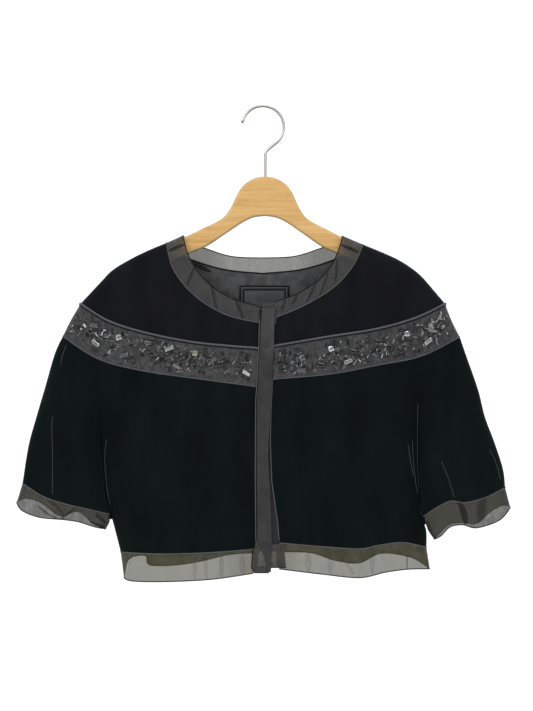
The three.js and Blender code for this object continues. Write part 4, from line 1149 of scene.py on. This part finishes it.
# Hem edging: a wider strip of the same organza below the velvet, cut on the bias so that it ripples.
# It is sewn under the velvet's hem, and its free edge is rolled.
HEM_EDGES = {
    "right": {
        "front": [(-13, -628), (-70, -636), (-130, -639.5), (-176, -639)],
        "back": [
            (0, -602), (-45, -605), (-85, -614), (-120, -619), (-153, -618.5), (-158, -606.5), (-171, -606),
            (-178, -608.5), (-184, -615),
        ],
    },
    "left": {
        "front": [(22, -622), (80, -629), (130, -634), (165, -627), (195, -623)],
        "back": [(0, -602), (62, -602), (95, -612), (130, -616), (160, -603), (200, -608)],
    },
}
HEM_WAVE = {"count": 3.5, "height": 3.2}

organza = organza_finish("organza", (0.053, 0.0525, 0.014), 0.54, gather=(0.055, 0.024, 0.075))
crinkled_organza = organza_finish("crinkled organza", (0.04, 0.0395, 0.05), 0.7, 0.1)


def hem_ripple(s, b):
    """Long waves and small ripples, which grow towards the free edge."""
    wave = HEM_WAVE["height"] * b * np.sin(HEM_WAVE["count"] * np.pi * s)
    return wave + 0.8 * b * np.sin(11 * np.pi * s + 2 * np.sin(7 * s)) * np.sin(np.pi * s)


def hem_surface(face, side):
    cut = BODY_OUTLINE[side]
    hem, edge = [*HEMS[side][face], cut["side_hem"]], [*HEM_EDGES[side][face], cut["side_edge"]]
    place = patch(line(hem), line(edge), line([hem[0], edge[0]]), line([hem[-1], edge[-1]]))
    return round_front(face, place, BODY["hem"], BODY["edge"], hem_ripple)


hem_grids = grids_round(hem_surface, 130, np.linspace(0.004, 0.998, 22))
sew_round(
    hem_grids, "hem_organza_{}", SHEER_WALL, organza, "sheer", "hem_edging_{}",
    back_material=crinkled_organza,
)

# Cuff edging: one strip of organza round each sleeve's end, sewn and rolled as the hem is. It closes
# at the fold under the arm.
CUFF_WAVE = {"count": 3, "height": 2.4}

cuff_organza = organza_finish("cuff organza", (0.043, 0.0427, 0.029), 0.65, 0.05)


def cuff_surface(side):
    cut = SLEEVE_OUTLINE[side]
    inner = line([cut["inside_hem"], *cut["cuff_fold"], cut["cuff_inside"]])
    outer = line([cut["outside_hem"], cut["cuff_outside"]])
    aside = np.array((SIGN[side] * SEAM_GAP / 2, 0))
    places = {}
    for face in FACING:
        edge = line([cut["cuff_inside"], *cut[f"cuff_{face}"], cut["cuff_outside"]])
        places[face] = patch(sleeve_hem(side, face), edge, lambda b: inner(b) + aside, outer)

    def half(face, phi, b):
        depth, square = (mix(SLEEVE["hem"][key], SLEEVE["edge"][key], b) for key in (face, "square"))
        at = places[face](across_tube(phi, square), b)
        swell = depth * np.abs(np.sin(phi)) ** (2 / square)
        wave = CUFF_WAVE["height"] * b * np.sin(CUFF_WAVE["count"] * phi) + 0.6 * b * np.sin(9 * phi + 1)
        relief = (crease_height(face, at) + wave) * np.abs(np.sin(phi))
        return on_cloth(at, face, swell, relief, hangs_forward(1.0))

    return round_arm(half)


cuff_grids = {}
for side in SIGN:
    angles = np.linspace(FOLD_ANGLE, 2 * np.pi - FOLD_ANGLE, 161)[:: SIGN[side]]
    grid = cuff_grids[side] = sample(cuff_surface(side), angles, np.linspace(0.004, 0.998, 18))
    sew(f"cuff_organza_{side}", grid, SHEER_WALL, cuff_organza, "sheer", f"cuff_edging_{side}")

# Placket: a strip of dark satin down the right front's edge, with a pressed tuck near the top. It laps
# over a narrower strip sewn under the left front's edge. Below the hem both fronts end in folded organza.
PLACKET_LEFT = [
    (-1, -271), (-3.8, -326), (-7.8, -400), (-8, -500), (-7, -586), (0.5, -598), (4.6, -611), (6, -626),
]
PLACKET_RIGHT = [(16, -271), (15, -321), (10, -411), (7, -470), (10, -520), (12, -592), (11, -626)]
PLACKET_LIFT = 2.7
PLACKET_TUCK = {"z": -305, "height": 0.8, "width": 4}
UNDERLAP_LEFT = [(0, -268), (0, -594)]
UNDERLAP_REACH = 4.0
UNDERLAP_DROP = 0.5
CRINKLE = {"spacing": 4.6, "height": 0.5}
STRIP_WAVE = 0.25

folded = organza_finish("folded organza", (0.05, 0.0495, 0.046), 0.85, 0.06)
crinkled_fold = organza_finish("crinkled fold", (0.12, 0.119, 0.1), 0.7, 0.2)
# Loose ends of organza: how far each stands out, its cloth, and its edges at the left and the right
LOOSE_ENDS = {
    "placket_foot_organza_front": (
        1.4, folded, [(-9.5, -584), (-10.5, -591), (-13.8, -600), (-15.2, -620), (-12, -627)],
        [(3, -584), (8.5, -627)],
    ),
    "placket_foot_organza_back": (
        0.7, folded, [(-8.5, -586), (-12, -600), (-13.5, -619), (-11, -626)], [(2, -586), (8, -626)],
    ),
    "left_facing_organza_outer": (1.0, folded, [(8, -588.4), (8, -620)], [(28, -589), (31.4, -621.5)]),
    "left_facing_organza_inner": (0.5, folded, [(17, -588.8), (19.5, -620.5)], [(27.7, -590), (31, -621)]),
    "neck_underlap_organza": (0.4, neck_organza, [(-1, -264.6), (-1, -292)], [(18.5, -262.5), (18.5, -292)]),
    "placket_foot_crinkle": (1.9, crinkled_fold, [(-5.2, -598), (-7.6, -618)], [(-1, -598), (5, -618)]),
    "left_facing_crinkle": (1.5, crinkled_fold, [(8.3, -598), (8.8, -612)], [(18.5, -598), (19.2, -612)]),
}


def side_depth(side, z):
    """Depth of one front at the centre, by height."""
    levels = [FRONT_RINGS[side][name][0][1] for name in RING]
    levels += [BODY_OUTLINE[side]["underarm"][1], HEMS[side]["front"][0][1], HEM_EDGES[side]["front"][0][1]]
    depths = [size["front"] for size in (*RING.values(), *BODY.values())]
    return np.interp(z, levels[::-1], depths[::-1])


def centre_depth(z):
    return np.maximum(side_depth("right", z), side_depth("left", z))


def edge_at(points, z):
    points = points[::-1]
    return np.interp(z, [level for _, level in points], [x for x, _ in points])


def strip_surface(left, right, lift, tuck=None):
    """A strip down the front opening between two edges, lying in front of the velvet."""

    def surface(s, b):
        z = mix(left[0][1], left[-1][1], b)
        depth = centre_depth(z) + lift + STRIP_WAVE * np.sin(z / 17) * np.sin(np.pi * s)
        if tuck:
            depth = depth - tuck["height"] * np.exp(-(((z - tuck["z"]) / tuck["width"]) ** 2))
        return np.stack(np.broadcast_arrays(mix(edge_at(left, z), edge_at(right, z), s), -depth, z), -1)

    return surface


# The placket's satin is darkened below the band by lower=0.66: a painted shade, lighter at the top.
placket_satin = satin_finish(
    "placket satin", (0.031, 0.031, 0.032), (0.046, 0.046, 0.047), rumple=0.0005, lower=0.66
)
surface = strip_surface(PLACKET_LEFT, PLACKET_RIGHT, PLACKET_LIFT, PLACKET_TUCK)
grid = sample(surface, np.linspace(0, 1, 15), np.linspace(0, 1, 160))
placket = sew("placket_satin", grid, SATIN_WALL, placket_satin, "satin", "placket")
left_front_edge = [
    *(ring[0] for ring in FRONT_RINGS["left"].values()), *FRONT_EDGE["left"],
    HEMS["left"]["front"][0], HEM_EDGES["left"]["front"][0],
]
under_edge = [(x + UNDERLAP_REACH, z) for x, z in left_front_edge]
# The underlap's satin is made far darker than the placket's: painted shade in the gap under the placket's
# edge.
shaded_underlap_satin = satin_finish("shaded underlap satin", (0.008, 0.009, 0.01), (0.014, 0.015, 0.017))
surface = strip_surface(UNDERLAP_LEFT, under_edge, -VELVET_WALL - UNDERLAP_DROP)
grid = sample(surface, np.linspace(0, 1, 13), np.linspace(0, 1, 120))
sew("shaded_underlap_satin", grid, SATIN_WALL, shaded_underlap_satin, "satin", "placket_underlap")
loose_grids = {}
for name, (lift, cloth, left, right) in LOOSE_ENDS.items():
    s, b = np.meshgrid(np.linspace(0, 1, 41), np.linspace(0, 1, 61), indexing="ij")
    grid = loose_grids[name] = strip_surface(left, right, lift)(s, b)
    if cloth is crinkled_fold:
        slanting = np.sin(2 * np.pi * (grid[..., 2] - grid[..., 0]) / CRINKLE["spacing"])
        grid[..., 1] -= CRINKLE["height"] * np.sin(np.pi * s) * np.sin(np.pi * b) * slanting
    sew(name, grid, SHEER_WALL, cloth, "sheer", None)

# Cords, bindings and painted lines: a satin cord runs along the band's top and up the right front's edge to
# the neck. Finer ones cover the other seams, and the organza's free edges are rolled.
# Light threads on the velvet, along its seams and fold edges, are painted highlights, and a black line under
# the band's cord is a painted shadow.
FINE_CORD_WIDTH = 1.5
ROLLED_EDGE_WIDTH = 1.5
HIGHLIGHT_LINE_WIDTH = 0.8
HIGHLIGHT_LINE_STAND = 0.15
UNDERARM_FOLD_WIDTH = 4.4
UNDERARM_FOLD_STAND = 1.5
UNDERARM_FOLD_TOP = -428
UNDERARM_FOLD_FOOT = {"right": -556, "left": -563}
SLEEVE_FALL = 110
RIGHT_FRONT_EDGE = [(-4.4, -287), (-5.4, -326), (-9.6, -400), (-10, -500), (-9.2, -592)]
# Light threads laid on the velvet along seams and fold edges: painted highlights, partly on real seams.
SEAM_AND_FOLD_HIGHLIGHTS = [
    ("body_velvet_front_left", [(209, -400), (208.6, -449), (208.5, -477), (210, -504), (213.5, -550)]),
    ("body_velvet_front_left", [(201.7, -449), (202.5, -471), (205.5, -502), (209, -522)]),
    ("body_velvet_front_left", [(196, -456), (199, -477), (203, -497)]),
    ("sleeve_velvet_front_left", [(241, -478), (251, -504), (257.6, -526)]),
    ("sleeve_velvet_front_left", [(306, -462), (315, -482), (320, -502)]),
    ("body_velvet_front_right", [(-211, -449), (-213, -472), (-212, -494), (-210, -514), (-206, -536)]),
    (
        "sleeve_velvet_front_right",
        [(-265, -322), (-274, -347), (-281, -380), (-284, -417), (-283, -470), (-283, -522)],
    ),
]


def cord_finish(name, dark, light, gloss=0.1):
    """A twisted or rolled edge: fine slanting turns and a soft gloss."""
    material, tree, shader = finish(name, Sheen_Weight=gloss, Specular_IOR_Level=5 * gloss)
    twist = {"Vector": place_in(tree), "Scale": 260.0, "Distortion": 1.0, "Detail": 1.0}
    turns = put(tree, "TexWave", twist, bands_direction="DIAGONAL").outputs["Fac"]
    rough = ramp(tree, turns, (0.2, 0.6), (0.8, 0.42))
    dress(shader, ramp(tree, turns, (0.2, dark), (0.8, light)), rough, turns, 0.00025, 0.6)
    return material


satin_cord = cord_finish("satin cord", (0.045, 0.046, 0.052), (0.085, 0.088, 0.1))
# Also the finish of the painted shadow line under the band's top cord.
rolled_organza_and_shadow_line = cord_finish("rolled organza and shadow line", (0.004, 0.004, 0.004), (0.011, 0.011, 0.01), 0.02)
# Lighter than the velvet: painted highlights along its seams and fold edges.
seam_and_fold_highlight = cord_finish("seam and fold highlight", (0.014, 0.021, 0.026), (0.032, 0.046, 0.054))
band_fronts = {end: grid for end, grid in band_grids.items() if end != "back"}
# Which row of which grids each lies along, how far off the cloth, its width, finish and slot
TRIM = {
    "band_cord": (band_grids, 0, 0.7, 2.8, satin_cord, "satin"),
    # A black line just under the band's top cord on the fronts: a painted shadow.
    "band_groove": (band_fronts, 1, 0.2, 2.4, rolled_organza_and_shadow_line, "satin"),
    "band_foot_cord": (band_grids, -1, 0.3, FINE_CORD_WIDTH, satin_cord, "satin"),
    "neck_cord": (neck_grids, -1, 0.4, FINE_CORD_WIDTH, satin_cord, "satin"),
    "neck_seam": ({"inside": neck_grids["back"]}, -1, -3.6, 1.8, rolled_organza_and_shadow_line, "sheer"),
    "neck_rolled_edge": (neck_grids, 0, 0, ROLLED_EDGE_WIDTH, rolled_organza_and_shadow_line, "sheer"),
    "hem_cord": (hem_grids, 0, 0.5, FINE_CORD_WIDTH, satin_cord, "satin"),
    "hem_rolled_edge": (hem_grids, -1, 0, ROLLED_EDGE_WIDTH, rolled_organza_and_shadow_line, "sheer"),
    "cuff_cord": (cuff_grids, 0, 0.5, FINE_CORD_WIDTH, satin_cord, "satin"),
    "cuff_rolled_edge": (cuff_grids, -1, 0, ROLLED_EDGE_WIDTH, rolled_organza_and_shadow_line, "sheer"),
}


def lay_cord(name, path, width, material, slot):
    return make_piece(name, *tube(path, width / 2, sides=8), material, slot, sharp=80)


def down_front(name, edge, levels, depths):
    """A fine cord down one edge of the front opening."""
    path = np.stack([edge_at(edge, levels), -depths, levels], -1)
    lay_cord(name, path, FINE_CORD_WIDTH, satin_cord, "satin")


for name, (grids, row, lift, width, material, slot) in TRIM.items():
    for end, grid in grids.items():
        path = grid[:, row] + outward(grid)[:, row] * lift
        lay_cord(f"{name}_{end}", path, width, material, slot)
levels = np.linspace(-287, -592, 120)
down_front("right_front_edge_cord", RIGHT_FRONT_EDGE, levels, centre_depth(levels) + 1.3)
levels = np.linspace(-368, -584, 90)
down_front("left_front_edge_cord", left_front_edge, levels, side_depth("left", levels) + 0.2)
foot_grid = loose_grids["placket_foot_organza_front"]
loose_edges = {
    "placket_foot_edge": foot_grid[0],
    "placket_foot_hem": foot_grid[:, -1],
    "left_facing_hem": loose_grids["left_facing_organza_outer"][:, -1],
}
for name, path in loose_edges.items():
    lay_cord(name, path, ROLLED_EDGE_WIDTH, rolled_organza_and_shadow_line, "sheer")
for side, foot in UNDERARM_FOLD_FOOT.items():
    body_cut, sleeve_cut = BODY_OUTLINE[side], SLEEVE_OUTLINE[side]
    levels = np.linspace(UNDERARM_FOLD_TOP, foot, 60)
    on_body = edge_at([body_cut["underarm"], *body_cut["side"]], levels)
    sleeve_edge = [*sleeve_cut["inside"], sleeve_cut["inside_hem"], *sleeve_cut["cuff_fold"]]
    on_sleeve = edge_at([body_cut["underarm"], *sleeve_edge], levels)
    forward = hangs_forward((body_cut["underarm"][1] - levels) / SLEEVE_FALL)
    path = np.stack([(on_body + on_sleeve) / 2, forward / 2 - UNDERARM_FOLD_STAND, levels], -1)
    lay_cord(f"underarm_fold_{side}", path, UNDERARM_FOLD_WIDTH, body_velvet, "velvet")


def laid_on(cloth, route, count):
    """Points and outward directions where a smooth route in the front view meets a piece."""
    ground = ground_of(bpy.data.objects[cloth])
    return [hit for x, z in line(route)(np.linspace(0, 1, count)) if (hit := land_on(ground, "front", x, z))]


# Painted highlights: light threads along the velvet's seams and fold edges.
for number, (cloth, route) in enumerate(SEAM_AND_FOLD_HIGHLIGHTS):
    path = [point + normal * HIGHLIGHT_LINE_STAND for point, normal in laid_on(cloth, route, 50)]
    lay_cord(f"seam_and_fold_highlight_line_{number + 1}", path, HIGHLIGHT_LINE_WIDTH, seam_and_fold_highlight, "velvet")

# Lining and label: dark satin inside the back yoke, and a blank woven label sewn to it with a double
# line of frame stitching
LINING_REACH = 0.5
LINING_WALL = 1.0
LABEL = {"left": -31, "right": 35, "top": -241, "height": 34, "wall": 0.8}
LAYER_GAP = 0.4
# Heights between which the yoke's back is taken as flat behind the label
LABEL_BACKING = (-224, -303)
FRAME_RADIUS = 1.0
LABEL_FRAME = {"outer": (0.4, rolled_organza_and_shadow_line), "piping": (2.6, satin_cord), "inner": (5.0, rolled_organza_and_shadow_line)}

lining_satin = satin_finish(
    "lining satin", (0.047, 0.048, 0.051), (0.096, 0.097, 0.101), (0.3, 0.45), 0.0012
)
yoke_back_surface = whole_back(lambda side: yoke_surface("back", side))


def lining_surface(s, b):
    points = yoke_back_surface(s * LINING_REACH, b)
    points[..., 1] -= VELVET_WALL + LAYER_GAP
    return points


grid = sample(lining_surface, columns_of("back", None, 60), np.linspace(0.003, 0.997, 40))
lining = sew("lining_satin_back_neck", grid, LINING_WALL, lining_satin, "satin", "lining_back_neck")


def label_surface(s, b):
    z = LABEL["top"] - LABEL["height"] * b
    down = (z - LABEL_BACKING[0]) / (LABEL_BACKING[1] - LABEL_BACKING[0])
    depth = mix(RING["neck_seam"]["back"], RING["band_top"]["back"], down)
    y = depth - VELVET_WALL - LINING_WALL - 3 * LAYER_GAP
    return np.stack(np.broadcast_arrays(mix(LABEL["right"], LABEL["left"], s), y, z), -1)


label_weave = satin_finish("woven label", (0.072, 0.073, 0.077), (0.1, 0.101, 0.106), (0.4, 0.55), 0.0003)
grid = sample(label_surface, np.linspace(0, 1, 25), np.linspace(0, 1, 15))
sew("label_woven", grid, LABEL["wall"], label_weave, "satin", "label")
for name, (inset, material) in LABEL_FRAME.items():
    x0, x1 = LABEL["left"] + inset, LABEL["right"] - inset
    z0, z1 = LABEL["top"] - inset, LABEL["top"] - LABEL["height"] + inset
    corners = np.array([(x0, z0), (x1, z0), (x1, z1), (x0, z1), (x0, z0)])
    path = []
    for start, end in zip(corners, corners[1:]):
        for x, z in mix(start, end, np.linspace(0, 1, 14, endpoint=False)[:, None]):
            y = label_surface(0.5, (LABEL["top"] - z) / LABEL["height"])[1]
            path.append((x, y - LABEL["wall"], z))
    frame_mesh = tube(path, FRAME_RADIUS, sides=8, closed=True)
    make_piece(f"label_frame_{name}", *frame_mesh, material, "satin", sharp=80)

# Pressed folds and creases: darker strips laid on the organza and the lining. On the organza they stand
# partly for cloth lying doubled and partly for painted shade in the folds; on the lining they are painted
# shade in its creases, and the deep one by the right front's neck is a painted shadow under the hanger's
# arm.
# Each is pressed flat by hand or by hanging.
FOLD_DOUBLING_AND_SHADE = {
    "deep": organza_finish("deep fold doubling and shade", (0.008, 0.008, 0.008), 0.62),
    "soft": organza_finish("soft fold doubling and shade", (0.014, 0.014, 0.013), 0.34),
    "crease": organza_finish("light crease doubling and shade", (0.02, 0.02, 0.018), 0.09),
}
FLATNESS = 0.2
PRESSED_STAND = 0.2
FOLDS = [
    ("neck_organza_front_right", [("deep", 5.0, [(-130.5, -196), (-106, -185.5)])]),
    ("neck_organza_front_left", [("deep", 5.0, [(105.5, -186), (131, -197)])]),
    ("lining_satin_back_neck", [
        ("deep", 6.0, [(-103, -203), (-90, -212), (-70, -222)]),
        ("soft", 2.2, [(-81, -232), (-66, -243), (-52, -254)]),
        ("soft", 2.0, [(-60, -250), (-45, -262), (-40, -272)]),
        ("soft", 2.2, [(72, -240), (56, -252), (48, -262)]),
    ]),
    ("cuff_organza_right", [
        ("soft", 4.0, [(-289, -530), (-279, -537), (-272, -545), (-267, -555)]),
        ("soft", 3.4, [(-250, -537), (-261, -547), (-275, -557)]),
        ("soft", 3.0, [(-303, -537), (-288, -549), (-272, -556)]),
        ("deep", 5.0, [(-226, -549), (-217.4, -555.5), (-212, -562)]),
        ("deep", 4.0, [(-232, -559), (-220, -564), (-213, -567)]),
    ]),
    ("cuff_organza_left", [
        ("deep", 9.0, [(263, -532), (270, -545), (273, -562)]),
        ("deep", 4.0, [(222, -556), (225.5, -569), (230, -580)]),
        ("soft", 12.0, [(297, -525), (294, -543), (292, -558)]),
    ]),
    ("hem_organza_front_left", [
        ("soft", 2.2, [(194, -604), (194.5, -624)]), ("crease", 7.0, [(147, -596), (147, -630)]),
        ("crease", 8.0, [(90, -595), (91, -629)]), ("crease", 4.0, [(108, -606), (122, -630)]),
        ("crease", 9.0, [(60, -598), (62, -626)]),
    ]),
    ("hem_organza_front_right", [
        ("crease", 6.0, [(-92, -606), (-91, -636)]), ("crease", 5.0, [(-77, -605), (-76, -634)]),
        ("crease", 7.0, [(-55, -603), (-56, -633)]), ("crease", 8.0, [(-28, -603), (-27, -629)]),
    ]),
]
FOLDS += [
    (f"neck_organza_front_{side}", [("soft", 1.5 * width, [(x0, z0), (x1, z1)])])
    for side, tucks in NECK_TUCKS.items()
    for x0, z0, x1, z1, width, _ in tucks
]
folds = [(cloth, *fold) for cloth, rows in FOLDS for fold in rows]
for number, (cloth, depth, width, route) in enumerate(folds):
    path = np.array([point for point, _ in laid_on(cloth, route, 24)])
    if len(path) < 4:
        continue
    taper = width / 2 * np.sin(np.pi * np.linspace(0.05, 0.95, len(path))) ** 0.5
    points, faces = tube(path, taper, sides=8)
    level = np.repeat(path[:, 1], 8)
    points[:, 1] = level + FLATNESS * (points[:, 1] - level) - PRESSED_STAND
    make_piece(f"fold_doubling_and_shade_{number + 1}", points, faces, FOLD_DOUBLING_AND_SHADE[depth], "sheer", sharp=80)

# Room: a plain pale sweep behind and below, with broad soft lights in front. The camera looks straight
# at the jacket, level, from far enough that it shows no perspective.
FLOOR = -0.95
WALL_BACK = 1.6
SWEEP_BEND = 0.6
SWEEP_REACH = 4.5
CAMERA_DISTANCE = 8.0
VIEW_HEIGHT = 0.96
VIEW_CENTRE = (0.005, -0.3351)
SENSOR_WIDTH = 36

pale_paper, tree, shader = finish("pale paper", Emission_Strength=0.66, Emission_Color=(1, 1, 1, 1))
fibre = cloudy(tree, place_in(tree), 30.0, 4.0)
paper = ramp(tree, fibre, (0.3, (0.5, 0.5, 0.5)), (0.7, (0.54, 0.54, 0.54)))
dress(shader, paper, 0.9, fibre, 0.0005, 0.2)
# The paper is seen from its front only, so that the jacket can also be looked at from behind
from_behind = put(tree, "NewGeometry").outputs["Backfacing"]
feed(shader, {"Alpha": calc(tree, "SUBTRACT", 1.0, from_behind)})

bend_start = WALL_BACK - SWEEP_BEND
sweep_profile = [(-4.0, FLOOR), (bend_start, FLOOR)]
sweep_profile += [
    (bend_start + SWEEP_BEND * math.sin(t), FLOOR + SWEEP_BEND * (1 - math.cos(t)))
    for t in np.radians(range(10, 91, 10))
]
sweep_profile.append((WALL_BACK, 3.0))
sweep_points = [(x, y, z) for x in (-SWEEP_REACH, SWEEP_REACH) for y, z in sweep_profile]
rows = len(sweep_profile)
sweep_mesh = bpy.data.meshes.new("sweep")
sweep_mesh.from_pydata(sweep_points, [], [(i, rows + i, rows + i + 1, i + 1) for i in range(rows - 1)])
sweep_mesh.shade_smooth()
sweep_mesh.materials.append(pale_paper)
sweep = bpy.data.objects.new("sweep", sweep_mesh)
bpy.context.collection.objects.link(sweep)
sweep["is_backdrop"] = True
world = bpy.data.worlds.new("studio")
bpy.context.scene.world = world
world.use_nodes = True
sky = world.node_tree
upness = axis_of(sky, put(sky, "TexCoord").outputs["Generated"], "Z")
level = calc(sky, "MULTIPLY_ADD", upness, 0.5, 0.5)
glow = ramp(sky, level, (0.0, 0.04), (0.45, 0.12), (0.6, 0.3), (1.0, 0.75))
feed(sky.nodes["Background"], {"Color": glow})


def soft_light(name, place, aim, size, power):
    """A square soft light that looks at a point."""
    lamp = bpy.data.lights.new(name, "AREA")
    lamp.shape = "RECTANGLE"
    lamp.size, lamp.size_y = size
    lamp.energy = power
    light = bpy.data.objects.new(name, lamp)
    bpy.context.collection.objects.link(light)
    light.location = place
    light.rotation_euler = (Vector(aim) - Vector(place)).to_track_quat("-Z", "Y").to_euler()


soft_light("window light", (-1.7, -2.2, 0.9), (0, 0, -0.35), (1.1, 1.4), 24)
soft_light("fill light", (2.0, -2.4, 0.2), (0, 0, -0.35), (1.2, 1.6), 13)
soft_light("top light", (0.2, -0.7, 1.8), (0, 0, -0.3), (1.6, 0.8), 11)

camera_data = bpy.data.cameras.new("camera")
camera_data.sensor_width = SENSOR_WIDTH
camera_data.lens = SENSOR_WIDTH * CAMERA_DISTANCE / VIEW_HEIGHT
camera_data.clip_end = 50
camera = bpy.data.objects.new("camera", camera_data)
bpy.context.collection.objects.link(camera)
camera.location = (VIEW_CENTRE[0], -CAMERA_DISTANCE, VIEW_CENTRE[1])
camera.rotation_euler = (math.radians(90), 0, 0)
bpy.context.scene.camera = camera
bpy.context.scene.view_settings.view_transform = "Standard"

boxes = {"cad": cad_box, "visual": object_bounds()}
{name: [list(map(float, corner)) for corner in box] for name, box in boxes.items()}
